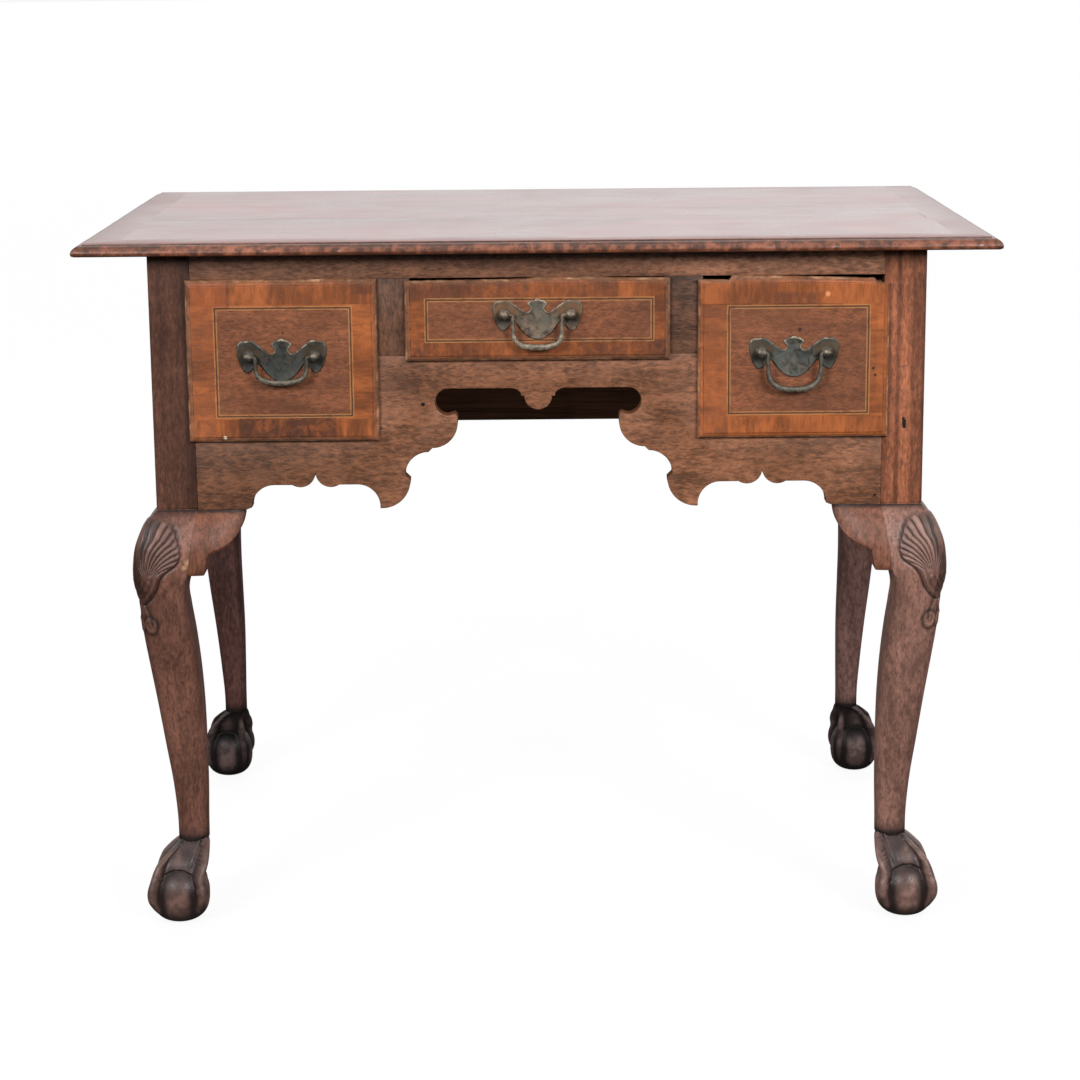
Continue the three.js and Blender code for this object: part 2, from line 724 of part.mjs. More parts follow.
function addRunners() {
  const length = [FRONT_INNER, BACK_INNER];
  const betweenPosts = [FRONT_POST_REAR, REAR_POST_FRONT];
  const low = [SIDE_OPENING_BOTTOM - RUNNER_HEIGHT, SIDE_OPENING_BOTTOM];
  const guide = [SIDE_OPENING_BOTTOM, SIDE_OPENING_BOTTOM + GUIDE_HEIGHT];

  const bearing = box([POST_INNER - RUNNER_WIDTH, POST_INNER], length, low);
  const filler = box([POST_INNER - RUNNER_WIDTH / 2, PANEL_INNER], betweenPosts, low);
  const outerGuide = box([POST_INNER, PANEL_INNER], betweenPosts, [low[0], guide[1]]);
  addPair('side_runner_outer', joined(bearing, filler, outerGuide), INNER_OAK);

  const guideFoot = DIVIDER_OUTER - RUNNER_WIDTH;
  const ledge = box([guideFoot, DIVIDER_OUTER + RUNNER_WIDTH], length, low);
  const innerGuide = box([guideFoot, DIVIDER_OUTER - GUIDE_GAP], length, [low[0], guide[1]]);
  addPair('side_runner_inner', joined(ledge, innerGuide), INNER_OAK);

  const half = CENTER_OPENING_HALF;
  const centerLow = [CENTER_OPENING_BOTTOM - RUNNER_HEIGHT, CENTER_OPENING_BOTTOM];
  const centerLedge = box([half - RUNNER_WIDTH, half + RUNNER_WIDTH], length, centerLow);
  const centerTop = CENTER_OPENING_BOTTOM + GUIDE_HEIGHT;
  const centerGuide = box([half + GUIDE_GAP, half + RUNNER_WIDTH], length, [centerLow[0], centerTop]);
  addPair('center_runner', joined(centerLedge, centerGuide), INNER_OAK);

  const kicker = box([half, DIVIDER_OUTER], length, [OPENING_TOP, OPENING_TOP + KICKER_HEIGHT]);
  addPair('kicker', kicker, INNER_OAK);
}

// Drawers.

function rectangle(x, z, y) {
  return [[x[0], y, z[0]], [x[1], y, z[0]], [x[1], y, z[1]], [x[0], y, z[1]]];
}

function inset([from, to], by) {
  return [from + by, to - by];
}

function drawerFront(body, lip, studs, groove) {
  const rings = [
    rectangle(body.x, body.z, CASE_FRONT + DRAWER_FRONT_THICKNESS),
    rectangle(body.x, body.z, LIP_BACK),
    rectangle(lip.x, lip.z, LIP_BACK),
    rectangle(lip.x, lip.z, LIP_BACK - LIP_EDGE),
  ];
  const thumbRise = LIP_THICKNESS - LIP_EDGE - LIP_QUIRK;
  const thumb = arc([LIP_ROUND, LIP_EDGE], [LIP_ROUND, thumbRise], 2, 1, EDGE_STEPS);
  for (const [setback, rise] of thumb.slice(1)) {
    rings.push(rectangle(inset(lip.x, setback), inset(lip.z, setback), LIP_BACK - rise));
  }
  rings.push(rectangle(inset(lip.x, LIP_ROUND), inset(lip.z, LIP_ROUND), LIP_FRONT));
  const holes = studs.map(({ x, z }) => barAlongY(
    STUD_RADIUS + STUD_GAP, x, z, [LIP_FRONT - LIP_THICKNESS, CASE_FRONT + 2 * DRAWER_FRONT_THICKNESS],
  ));
  return cut(loft(rings), groove, ...holes);
}

function addDrawer(name, openingX, openingZ, bailDrop) {
  const body = {
    x: inset(openingX, DRAWER_SIDE_PLAY),
    z: [openingZ[0] + DRAWER_FOOT_GAP, openingZ[1] - DRAWER_TOP_PLAY],
  };
  const lip = {
    x: inset(openingX, -LIP_OVERLAP),
    z: [openingZ[0] - LIP_OVERLAP, openingZ[1] - LIP_TOP_GAP],
  };
  const handleX = (openingX[0] + openingX[1]) / 2;
  const handleZ = (openingZ[0] + openingZ[1]) / 2 + HANDLE_RISE;
  const studs = [-1, 1].map((side) => ({ side, x: handleX + (side * POST_SPACING) / 2, z: handleZ }));

  const innerFace = CASE_FRONT + DRAWER_FRONT_THICKNESS;
  const bottomZ = [body.z[0] + DRAWER_BOTTOM_RISE, body.z[0] + DRAWER_BOTTOM_RISE + DRAWER_BOTTOM_THICKNESS];
  const grooveZ = [bottomZ[0] - FIT_GAP, bottomZ[1] + FIT_GAP];
  const inner = inset(body.x, DRAWER_SIDE_THICKNESS);
  const groove = box(
    inset(inner, -DRAWER_GROOVE),
    [innerFace - DRAWER_GROOVE, innerFace + DRAWER_GROOVE],
    grooveZ,
  );
  addPiece(`${name}_front`, drawerFront(body, lip, studs, groove), FRONT_BROWN);

  const length = [innerFace, DRAWER_REAR];
  const sideOutline = (outer, face, groovePlane) => [
    [outer, body.z[0]],
    [face, body.z[0]],
    [face, grooveZ[0]],
    [groovePlane, grooveZ[0]],
    [groovePlane, grooveZ[1]],
    [face, grooveZ[1]],
    [face, body.z[1]],
    [outer, body.z[1]],
  ];
  const leftSide = sideOutline(body.x[0], inner[0], inner[0] - DRAWER_GROOVE);
  const rightSide = sideOutline(body.x[1], inner[1], inner[1] + DRAWER_GROOVE).reverse();
  addPiece(`${name}_side_left`, frontPrism(leftSide, length), INNER_OAK);
  addPiece(`${name}_side_right`, frontPrism(rightSide, length), INNER_OAK);

  const bottomX = inset(inner, FIT_GAP - DRAWER_GROOVE);
  const bottomY = [innerFace - DRAWER_GROOVE + FIT_GAP, DRAWER_REAR];
  addPiece(`${name}_bottom`, box(bottomX, bottomY, bottomZ), INNER_OAK);
  const backY = [DRAWER_REAR - DRAWER_SIDE_THICKNESS, DRAWER_REAR];
  addPiece(`${name}_back`, box(inner, backY, [bottomZ[1], body.z[1]]), INNER_OAK);
  addHandle(name, handleX, handleZ, studs, bailDrop);
}

// Handles. The plate's half outline is in shares of its half width, its crown and its belly.
const PLATE_UPPER_SHARES = [
  [0, 1],
  [0.11, 0.88],
  [0.24, 0.78],
  [0.25, 0.55],
  [0.18, 0.38],
  [0.18, 0.1],
  [0.28, 0],
  [0.4, 0.2],
  [0.5, 0.42],
  [0.6, 0.58],
  [0.63, 0.78],
  [0.76, 0.88],
  [0.88, 0.78],
  [0.97, 0.58],
  [1, 0.2],
];

const PLATE_LOWER_SHARES = [
  [0.98, 0.18],
  [0.93, 0.42],
  [0.84, 0.62],
  [0.73, 0.68],
  [0.62, 0.62],
  [0.56, 0.5],
  [0.5, 0.62],
  [0.4, 0.78],
  [0.24, 0.93],
  [0, 1],
];

function backplate(x, z, studs) {
  const half = [
    ...PLATE_UPPER_SHARES.map(([a, b]) => [a * PLATE_HALF_WIDTH, b * PLATE_CROWN]),
    ...PLATE_LOWER_SHARES.map(([a, b]) => [a * PLATE_HALF_WIDTH, -b * PLATE_BELLY]),
  ];
  const outline = [...half, ...half.slice(1, -1).map(([a, b]) => [-a, b]).reverse()];
  const plate = frontPrism(outline.map(([a, b]) => [x + a, z + b]), [LIP_FRONT - PLATE_THICKNESS, LIP_FRONT]);
  const holes = studs.map((stud) => barAlongY(
    STUD_RADIUS + STUD_GAP, stud.x, stud.z, [LIP_FRONT - 2 * PLATE_THICKNESS, LIP_FRONT + PLATE_THICKNESS],
  ));
  return cut(plate, ...holes);
}

// A stud is turned about its own length: nut, shank, collar, neck and a round drilled head.
function stud(x, z) {
  const nutBack = CASE_FRONT + DRAWER_FRONT_THICKNESS + NUT_HEIGHT;
  const plateFace = LIP_FRONT - PLATE_THICKNESS;
  const collarFace = plateFace - STUD_COLLAR_HEIGHT;
  const head = arc([0, PIN_STANDOFF], [STUD_HEAD_RADIUS, STUD_HEAD_RADIUS], 0, 1);
  const profile = [
    [0, -nutBack],
    [NUT_RADIUS, -nutBack],
    [NUT_RADIUS, NUT_HEIGHT - nutBack],
    [STUD_RADIUS, NUT_HEIGHT - nutBack],
    [STUD_RADIUS, -plateFace],
    [STUD_COLLAR_RADIUS, -plateFace],
    [STUD_NECK_RADIUS, -collarFace],
    ...head.map(([radius, rise]) => [radius, rise - LIP_FRONT]),
  ];
  profile[profile.length - 1][0] = 0;
  const points = profile.map(([radius, along]) => new THREE.Vector2(radius, along));
  const turned = new THREE.LatheGeometry(points, STUD_SIDES);
  turned.rotateX(2 * QUARTER);
  turned.translate(x, 0, z);
  const drill = new THREE.CylinderGeometry(
    PIN_RADIUS + PIN_GAP, PIN_RADIUS + PIN_GAP, 4 * STUD_HEAD_RADIUS, STUD_SIDES,
  );
  drill.rotateZ(QUARTER);
  drill.translate(x, LIP_FRONT - PIN_STANDOFF, z);
  return cut(turned, drill);
}

// The bail follows a flat path: a pin, a bend, a straight arm, the curved grip, and back up.
function bail(x, z, drop) {
  const pinEnd = POST_SPACING / 2 + BAIL_PIN_REACH;
  const side = [
    { a: pinEnd, b: 0, radius: PIN_RADIUS },
    { a: BAIL_HALF_WIDTH + BAIL_BEND, b: 0, radius: PIN_RADIUS },
    { a: BAIL_HALF_WIDTH, b: -BAIL_BEND, radius: BAIL_ROD_RADIUS },
  ];
  const grip = [];
  for (let i = 0; i <= GRIP_STEPS; i += 1) {
    const angle = (2 * QUARTER * i) / GRIP_STEPS;
    const middle = Math.sin(angle);
    grip.push({
      a: BAIL_HALF_WIDTH * Math.cos(angle),
      b: -BAIL_ARM_DROP - (drop - BAIL_ARM_DROP) * Math.sqrt(middle) * Math.sqrt(Math.sqrt(middle)),
      radius: THREE.MathUtils.lerp(BAIL_ROD_RADIUS, BAIL_GRIP_RADIUS, middle * middle),
    });
  }
  const path = [...side, ...grip, ...side.map((point) => ({ ...point, a: -point.a })).reverse()];
  const rings = path.map((point, i) => {
    const before = path[Math.max(0, i - 1)];
    const after = path[Math.min(path.length - 1, i + 1)];
    const along = new THREE.Vector2(after.a - before.a, after.b - before.b).normalize();
    const ring = oval([0, 0], [point.radius, point.radius], ROD_SIDES);
    return ring.map(([across, out]) => [
      x + point.a + across * along.y,
      LIP_FRONT - PIN_STANDOFF + out,
      z + point.b - across * along.x,
    ]);
  });
  return loft(rings);
}

function addHandle(name, x, z, studs, bailDrop) {
  addPiece(`${name}_backplate`, backplate(x, z, studs), OLD_BRASS, 0.55, 0.8);
  addPiece(`${name}_bail`, bail(x, z, bailDrop), OLD_BRASS, 0.5, 0.8);
  studs.forEach(({ side, x: studX, z: studZ }) => {
    addPiece(`${name}_stud_${side < 0 ? 'left' : 'right'}`, stud(studX, studZ), OLD_BRASS, 0.5, 0.8);
  });
}

addTop();
addFront();
addSidesAndBack();
addLegs();
addBrackets();
addRunners();
const sideOpening = [DIVIDER_OUTER, POST_INNER];
const sideHeights = [SIDE_OPENING_BOTTOM, OPENING_TOP];
const centerOpening = [-CENTER_OPENING_HALF, CENTER_OPENING_HALF];
const centerHeights = [CENTER_OPENING_BOTTOM, OPENING_TOP];
addDrawer('left_drawer', [-sideOpening[1], -sideOpening[0]], sideHeights, LEFT_BAIL_DROP);
addDrawer('center_drawer', centerOpening, centerHeights, CENTER_BAIL_DROP);
addDrawer('right_drawer', sideOpening, sideHeights, RIGHT_BAIL_DROP);

export default lowboy;
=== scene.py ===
"""A lowboy on cabriole legs, dressed: carved knees, claw feet, lipped drawers, old walnut and brass.

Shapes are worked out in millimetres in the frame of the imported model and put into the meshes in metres.
+Z is up, the front faces -Y and the middle of the floor plan is the origin.
"""

import math

import bpy
import numpy as np
from bpy.props import FloatProperty, FloatVectorProperty, IntProperty, PointerProperty
from mathutils import Matrix


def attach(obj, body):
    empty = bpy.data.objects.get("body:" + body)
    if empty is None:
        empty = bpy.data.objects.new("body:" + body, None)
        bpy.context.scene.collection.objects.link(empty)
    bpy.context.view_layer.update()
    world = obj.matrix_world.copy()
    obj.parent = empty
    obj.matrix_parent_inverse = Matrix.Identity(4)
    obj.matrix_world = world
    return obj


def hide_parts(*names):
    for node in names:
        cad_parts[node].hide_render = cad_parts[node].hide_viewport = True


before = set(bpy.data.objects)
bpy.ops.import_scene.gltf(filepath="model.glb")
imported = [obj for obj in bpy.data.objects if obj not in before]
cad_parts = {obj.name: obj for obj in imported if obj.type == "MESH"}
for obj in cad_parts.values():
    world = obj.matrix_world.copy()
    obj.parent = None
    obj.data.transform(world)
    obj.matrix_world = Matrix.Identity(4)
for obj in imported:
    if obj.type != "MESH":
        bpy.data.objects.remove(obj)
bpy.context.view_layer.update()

bl_info = {
    "name": "Lowboy",
    "version": (1, 0, 0),
    "blender": (4, 5, 0),
    "location": "3D View > Sidebar > Lowboy",
    "description": "Builds and dresses a lowboy with carved knees, claw feet and lipped drawers",
    "category": "Add Mesh",
}

METRE = 0.001
QUARTER = math.pi / 2

# Planes and sizes of the carcase, in millimetres.
HEIGHT = 718.5
TOP_UNDERSIDE = 706
TOP_HALF = 460
TOP_FRONT = -276
TOP_BACK = 276
BORDER_WIDTH = 44
CASE_SIDE = 390
CASE_FRONT = -242
CASE_BACK = 246
POST_SIZE = 42
POST_INNER = 348
PANEL_INNER = 374
FRONT_INNER = -222
FRONT_POST_REAR = -200
REAR_POST_FRONT = 204
OPENING_TOP = 678.5
SIDE_OPENING_BOTTOM = 519
CENTER_OPENING_BOTTOM = 600
CENTER_OPENING_HALF = 128
DIVIDER_OUTER = 166
KNEE_LINE = 443
KNEE_HEIGHT = 68
KNEE_TAPER = 11
KNEE_BULGE = 24
ANKLE_HEIGHT = 84
SHANK_TOP = KNEE_LINE - KNEE_HEIGHT
SHANK_LENGTH = SHANK_TOP - ANKLE_HEIGHT
LIP_BACK = -242.3
LIP_FRONT = -250.3
DRAWER_FRONT_REAR = CASE_FRONT + 16
PIN_AXIS = LIP_FRONT - 9.5
SIDES = ("left", "center", "right")


# Curves and small sums.

def arc(center, radii, start, end, steps=16):
    """Points on an ellipse: the centre plus the radii times cosine and sine of the angle, in quarter turns."""
    angle = QUARTER * np.linspace(start, end, steps + 1)
    return np.stack([center[0] + radii[0] * np.cos(angle), center[1] + radii[1] * np.sin(angle)], -1)


def smooth_step(low, high, value):
    """Nought below low, one above high, and 3t^2 - 2t^3 between."""
    t = np.clip((np.asarray(value, float) - low) / (high - low), 0, 1)
    return t * t * (3 - 2 * t)


def hump(value, width):
    """A bell over nought: e to the power of minus the square of the value over the width."""
    return np.exp(-(value / width) ** 2)


def eased(value, knots):
    """A curve through (place, height) knots: cubics between them, with slopes from their neighbours."""
    places, heights = np.array(sorted(knots), float).T
    slopes = np.gradient(heights, places)
    i = np.clip(np.searchsorted(places, value) - 1, 0, len(places) - 2)
    run = places[i + 1] - places[i]
    t = np.clip((value - places[i]) / run, 0, 1)
    return (
        (2 * t**3 - 3 * t**2 + 1) * heights[i]
        + (t**3 - 2 * t**2 + t) * run * slopes[i]
        + (3 * t**2 - 2 * t**3) * heights[i + 1]
        + (t**3 - t**2) * run * slopes[i + 1]
    )


def waver(value, pitch, seed):
    """Smooth chance heights between -1 and 1, one knot for each pitch along the value."""
    knots = np.random.default_rng(seed).uniform(-1, 1, 4096)
    place = np.asarray(value, float) / pitch + 2048
    i = np.floor(place).astype(int) % 4095
    t = place - np.floor(place)
    t = t * t * (3 - 2 * t)
    return knots[i] * (1 - t) + knots[i + 1] * t


def soft_least(values, width):
    """The least of several distances, rounded over a width where two are nearly equal."""
    least = values[0]
    for value in values[1:]:
        h = np.clip(0.5 + 0.5 * (value - least) / width, 0, 1)
        least = value * (1 - h) + least * h - width * h * (1 - h)
    return least


def evenly(path, count):
    """A line of points replaced by a count of points at equal distances along it."""
    travel = np.concatenate([[0], np.cumsum(np.hypot(*np.diff(path, axis=0).T))])
    at = np.linspace(0, travel[-1], count)
    return np.stack([np.interp(at, travel, path[:, 0]), np.interp(at, travel, path[:, 1])], -1)


def softened(path, rounds):
    """Each inner point moved to half itself and a quarter of each neighbour, a number of times."""
    path = path.copy()
    for _ in range(rounds):
        path[1:-1] = 0.25 * path[:-2] + 0.5 * path[1:-1] + 0.25 * path[2:]
    return path


def softened_loop(loop, rounds):
    """The same around a closed line, where every point has two neighbours."""
    for _ in range(rounds):
        loop = 0.25 * np.roll(loop, 1, 0) + 0.5 * loop + 0.25 * np.roll(loop, -1, 0)
    return loop


# Putting shapes into meshes.

def put_piece(name, points, faces, body, nodes, finish, marks=None, facet=40):
    """Makes one object from points in millimetres and faces, riding on a body in place of CAD nodes.

    The faces are turned over where they enclose a negative volume, which is a sixth of the sum of their
    corners' triple products, so they point outwards. Edges sharper than facet degrees stay sharp.
    """
    points = np.asarray(points, float)
    faces = [tuple(face) for face in faces]
    corners = np.array([(f[0], f[i], f[i + 1]) for f in faces for i in range(1, len(f) - 1)])
    a, b, c = (points[corners[:, k]] for k in range(3))
    if np.einsum("ij,ij->", a, np.cross(b, c)) < 0:
        faces = [face[::-1] for face in faces]
    mesh = bpy.data.meshes.new(name)
    mesh.from_pydata((points * METRE).tolist(), [], faces)
    mesh.update()
    for mark, values in (marks or {}).items():
        layer = mesh.attributes.new(mark, "FLOAT", "POINT")
        layer.data.foreach_set("value", np.asarray(values, np.float32).ravel())
    piece = bpy.data.objects.new(name, mesh)
    bpy.context.scene.collection.objects.link(piece)
    mesh.materials.append(finish)
    mesh.shade_smooth()
    if facet:
        mesh.set_sharp_from_angle(angle=math.radians(facet))
    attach(piece, body)
    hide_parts(*nodes)
    return piece


def dress(name, finish):
    """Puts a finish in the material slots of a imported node, whose mesh stays as it is."""
    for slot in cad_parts[name].material_slots:
        slot.link = "OBJECT"
        slot.material = finish


def ring_faces(rows, columns, start=0):
    """Four-sided faces between each ring of points and the next, closed around."""
    r, c = np.meshgrid(np.arange(rows - 1), np.arange(columns), indexing="ij")
    a = start + r * columns + c
    b = start + r * columns + (c + 1) % columns
    return np.stack([a, b, b + columns, a + columns], -1).reshape(-1, 4).tolist()


def closed_rings(rings, flat_ends=False):
    """A closed skin through rings (rows, columns, 3), with a fan or one flat face on each end."""
    rings = np.asarray(rings, float)
    rows, columns = rings.shape[:2]
    points = rings.reshape(-1, 3)
    faces = ring_faces(rows, columns)
    last = (rows - 1) * columns
    if flat_ends:
        faces.append(list(range(columns))[::-1])
        faces.append(list(range(last, last + columns)))
        return points, faces
    points = np.vstack([points, rings[0].mean(0), rings[-1].mean(0)])
    around = np.arange(columns)
    after = (around + 1) % columns
    first_cap = np.stack([np.full(columns, len(points) - 2), after, around], -1)
    last_cap = np.stack([np.full(columns, len(points) - 1), last + around, last + after], -1)
    return points, faces + first_cap.tolist() + last_cap.tolist()


def drawn_in(outline, distance):
    """An outline moved inwards by a distance along the mean of the two edges' normals at each point."""
    ahead = np.roll(outline, -1, 0) - outline
    ahead /= np.maximum(np.linalg.norm(ahead, axis=1), 1e-9)[:, None]
    behind = np.roll(ahead, 1, 0)
    area = np.sum(outline[:, 0] * np.roll(outline[:, 1], -1) - np.roll(outline[:, 0], -1) * outline[:, 1])
    turn = np.array([[0, -1], [1, 0]]) * (1 if area > 0 else -1)
    inward = (ahead + behind) @ turn.T
    length = np.maximum(np.linalg.norm(inward, axis=1), 0.3)
    return outline + inward / length[:, None] * distance


def shaped_board(outline, near, far, edge, plane="front"):
    """A board: its outline carried through its thickness, with its arrises rounded over by edge."""
    side = 1 if far > near else -1
    steps = [(edge * (1 - math.sin(t)), edge * (1 - math.cos(t))) for t in np.linspace(0, QUARTER, 4)]
    rings = [(drawn_in(outline, inset), near + side * rise) for inset, rise in steps]
    rings += [(drawn_in(outline, inset), far - side * rise) for inset, rise in reversed(steps)]
    if plane == "front":
        layers = [np.stack([o[:, 0], np.full(len(o), d), o[:, 1]], -1) for o, d in rings]
    else:
        layers = [np.stack([np.full(len(o), d), o[:, 0], o[:, 1]], -1) for o, d in rings]
    return closed_rings(np.array(layers), flat_ends=True)


def box_outline(low, high, other_low, other_high):
    """A rectangle between two places along one axis and two along the other."""
    return np.array([[low, other_low], [high, other_low], [high, other_high], [low, other_high]], float)


def without_repeats(outline):
    """An outline with points that repeat the one before left out."""
    gap = np.linalg.norm(outline - np.roll(outline, 1, 0), axis=1)
    return outline[gap > 1e-6]


def flipped(points):
    """Points mirrored from the right of the lowboy to its left."""
    return np.asarray(points) * np.array([-1, 1, 1])


# Finishes. Every pattern reads the piece's own coordinates in metres.

class Finish:
    """A material under construction, with short calls for its nodes."""

    def __init__(self, name):
        self.material = bpy.data.materials.new(name)
        self.material.use_nodes = True
        self.tree = self.material.node_tree
        self.tree.nodes.clear()
        self.output = self.tree.nodes.new("ShaderNodeOutputMaterial")
        self.shader = self.tree.nodes.new("ShaderNodeBsdfPrincipled")
        self.tree.links.new(self.shader.outputs[0], self.output.inputs[0])
        self.place = self.tree.nodes.new("ShaderNodeTexCoord").outputs["Object"]
        self.axes = None

    def feed(self, socket, value):
        """Links a socket to another node's result, or sets its value."""
        if isinstance(value, bpy.types.NodeSocket):
            self.tree.links.new(value, socket)
        elif hasattr(value, "__len__") and len(value) == 3 and socket.type == "RGBA":
            socket.default_value = (*value, 1)
        else:
            socket.default_value = value

    def node(self, kind, out=0, settings=None, **inputs):
        """Adds a node; an input is named by its own name, or by i and its number."""
        node = self.tree.nodes.new(kind)
        for key, value in (settings or {}).items():
            setattr(node, key, value)
        for key, value in inputs.items():
            socket = node.inputs[int(key[1:])] if key[0] == "i" and key[1:].isdigit() else node.inputs[key]
            self.feed(socket, value)
        return node.outputs[out]

    def sum(self, operation, first, second=0.0, third=None):
        """One sum on two values, or on three."""
        extra = {} if third is None else {"i2": third}
        return self.node("ShaderNodeMath", settings={"operation": operation}, i0=first, i1=second, **extra)

    def axis(self, index):
        """The place along one axis, in metres."""
        if self.axes is None:
            split = self.tree.nodes.new("ShaderNodeSeparateXYZ")
            self.tree.links.new(self.place, split.inputs[0])
            self.axes = split.outputs
        return self.axes[index]

    def mark(self, name):
        """A mark that the shape left on the mesh, nought to one at each point."""
        return self.node("ShaderNodeAttribute", out="Fac", settings={"attribute_name": name})

    def spread(self, value, low, high, to_low=0.0, to_high=1.0):
        """A value carried from one range to another, held at the ends."""
        return self.node(
            "ShaderNodeMapRange", i0=value, i1=low, i2=high, i3=to_low, i4=to_high, settings={"clamp": True}
        )

    def beyond(self, axis, middle, half):
        """How far a place lies beyond a span: its distance from the span's middle less half the span."""
        return self.sum("SUBTRACT", self.sum("ABSOLUTE", self.sum("SUBTRACT", self.axis(axis), middle)), half)

    def mix(self, share, first, second):
        """The first colour where the share is nought and the second where it is one."""
        settings = {"data_type": "RGBA", "blend_type": "MIX", "clamp_factor": True}
        return self.node("ShaderNodeMix", out=2, settings=settings, i0=share, i6=first, i7=second)

    def noise(self, scale, detail=4.0, rough=0.55, distort=0.0, stretch=(1, 1, 1), shift=(0, 0, 0)):
        """Noise with a scale in cycles a metre along each axis."""
        vector = self.node(
            "ShaderNodeMapping", Vector=self.place, Location=shift, Scale=tuple(scale * s for s in stretch)
        )
        return self.node(
            "ShaderNodeTexNoise", Vector=vector, Scale=1.0, Detail=detail, Roughness=rough, Distortion=distort
        )

    def ramp(self, value, stops):
        """A value turned into a colour between (place, colour) stops."""
        node = self.tree.nodes.new("ShaderNodeValToRGB")
        self.tree.links.new(value, node.inputs[0])
        elements = node.color_ramp.elements
        while len(elements) < len(stops):
            elements.new(0.5)
        for element, (place, colour) in zip(elements, stops):
            element.position = place
            element.color = (*colour, 1)
        return node.outputs[0]

    def shaded(self, colour, share):
        """A colour made darker or lighter by a share."""
        return self.tinted(colour, self.node("ShaderNodeCombineColor", i0=share, i1=share, i2=share))

    def tinted(self, colour, shares):
        """A colour times a share for each channel."""
        return self.node("ShaderNodeVectorMath", settings={"operation": "MULTIPLY"}, i0=colour, i1=shares)

    def stripes(self, colour, axis, stops):
        """A colour shaded by (place in millimetres, share) stops along an axis, straight between them."""
        places = [place for place, _ in stops]
        low, high = min(places) * METRE, max(places) * METRE
        along = self.spread(self.axis(axis), low, high)
        span = max(places) - min(places)
        ramp = self.ramp(along, [((place - min(places)) / span, (share / 2,) * 3) for place, share in stops])
        return self.shaded(colour, self.sum("MULTIPLY", ramp, 2.0))

    def spots(self, colour, places, tone, soft=0.3):
        """Round marks: (x, z, radius) places, where the distance in x and z from one is under its radius."""
        mask = None
        for x, z, radius in places:
            dx = self.sum("SUBTRACT", self.axis(0), x * METRE)
            dz = self.sum("SUBTRACT", self.axis(2), z * METRE)
            span = self.sum("SQRT", self.sum("ADD", self.sum("MULTIPLY", dx, dx), self.sum("MULTIPLY", dz, dz)))
            spot = self.spread(span, radius * METRE, radius * METRE * (1 - soft))
            mask = spot if mask is None else self.sum("MAXIMUM", mask, spot)
        return self.mix(mask, colour, tone)

    def seal(self, colour, rough, height=None, depth=0.0003, strength=0.5, gloss=0.5, metal=0.0):
        """Feeds the shader; what is the same all over the piece is set on the shader's own sockets."""
        self.feed(self.shader.inputs["Base Color"], colour)
        self.feed(self.shader.inputs["Roughness"], rough)
        self.shader.inputs["Metallic"].default_value = metal
        self.shader.inputs["Specular IOR Level"].default_value = gloss
        if height is not None:
            bump = self.node("ShaderNodeBump", Strength=strength, Distance=depth, Height=height)
            self.feed(self.shader.inputs["Normal"], bump)
        return self.material


def linear(rgb):
    """A colour seen on a screen, 0 to 255 for each channel, as amounts of light."""
    share = np.asarray(rgb, float) / 255
    light = np.where(share <= 0.04045, share / 12.92, ((share + 0.055) / 1.055) ** 2.4)
    return tuple(float(v) for v in light)


def scaled(colour, share, more=0.0):
    """A colour times one share, or times a share for each channel, plus a little more light."""
    shares = share if hasattr(share, "__len__") else (share,) * 3
    return tuple(min(1.0, c * s + more) for c, s in zip(colour, shares))


def dark_to_light(colour, dark, light):
    """The three tones of a wood: its colour times the dark share, the colour and its light share."""
    return scaled(colour, dark), tuple(colour), scaled(colour, light)


def grain(finish, axis, tones, across=330.0, along=100.0, shift=(0, 0, 0), figure=0.35, streak=0.5, tight=0.075):
    """Wood: short flecks and broad bands drawn out along the grain, and dark pores.

    The tone is the sum of three noises, and a ramp from dark to light is laid over the width "tight" on
    each side of its middle. The results are the colour, the height for the relief and a soft cloud.
    """
    def drawn(fine, long):
        """A scale for each axis: long along the grain and fine across it."""
        return tuple(long if k == axis else fine for k in range(3))
    fine = finish.noise(1, 4, 0.6, 0.2, stretch=drawn(across * 1.9, along * 1.6), shift=shift)
    fleck = finish.noise(1, 3, 0.55, 0.3, stretch=drawn(across * 0.8, along), shift=shift)
    broad = finish.noise(1, 4, 0.6, 0.6, stretch=drawn(across / 6, along / 12), shift=shift)
    cloud = finish.noise(9, 3, 0.6, 0.4, shift=shift)
    pores = finish.noise(1, 2, 0.5, 0.0, stretch=drawn(across * 2.6, along * 2.2), shift=shift)
    rest = 1 - figure
    tone = finish.sum("MULTIPLY_ADD", fleck, rest * 0.55, finish.sum("MULTIPLY", broad, figure))
    tone = finish.sum("MULTIPLY_ADD", fine, rest * 0.45, tone)
    dark, middle, light = tones
    colour = finish.ramp(tone, [(0.5 - tight, dark), (0.5, middle), (0.5 + tight, light)])
    pore = finish.spread(pores, 0.56, 0.66)
    colour = finish.mix(finish.sum("MULTIPLY", pore, streak), colour, scaled(dark, 0.5))
    colour = finish.shaded(colour, finish.spread(cloud, 0.32, 0.7, 0.78, 1.24))
    height = finish.sum("SUBTRACT", finish.sum("MULTIPLY", tone, 0.6), finish.sum("MULTIPLY", pore, 0.5))
    return colour, height, cloud


# What a user would change.

def colour_property(name, description, rgb):
    """A colour that a user can change, with its default as it is seen on a screen."""
    return FloatVectorProperty(
        name=name, description=description, subtype="COLOR", size=3, min=0, max=1, default=linear(rgb)
    )


def length_property(name, description, value):
    """A length that a user can change, with its default in millimetres."""
    return FloatProperty(
        name=name, description=description, default=value * METRE, min=0, max=0.1,
        subtype="DISTANCE", unit="LENGTH", precision=5,
    )


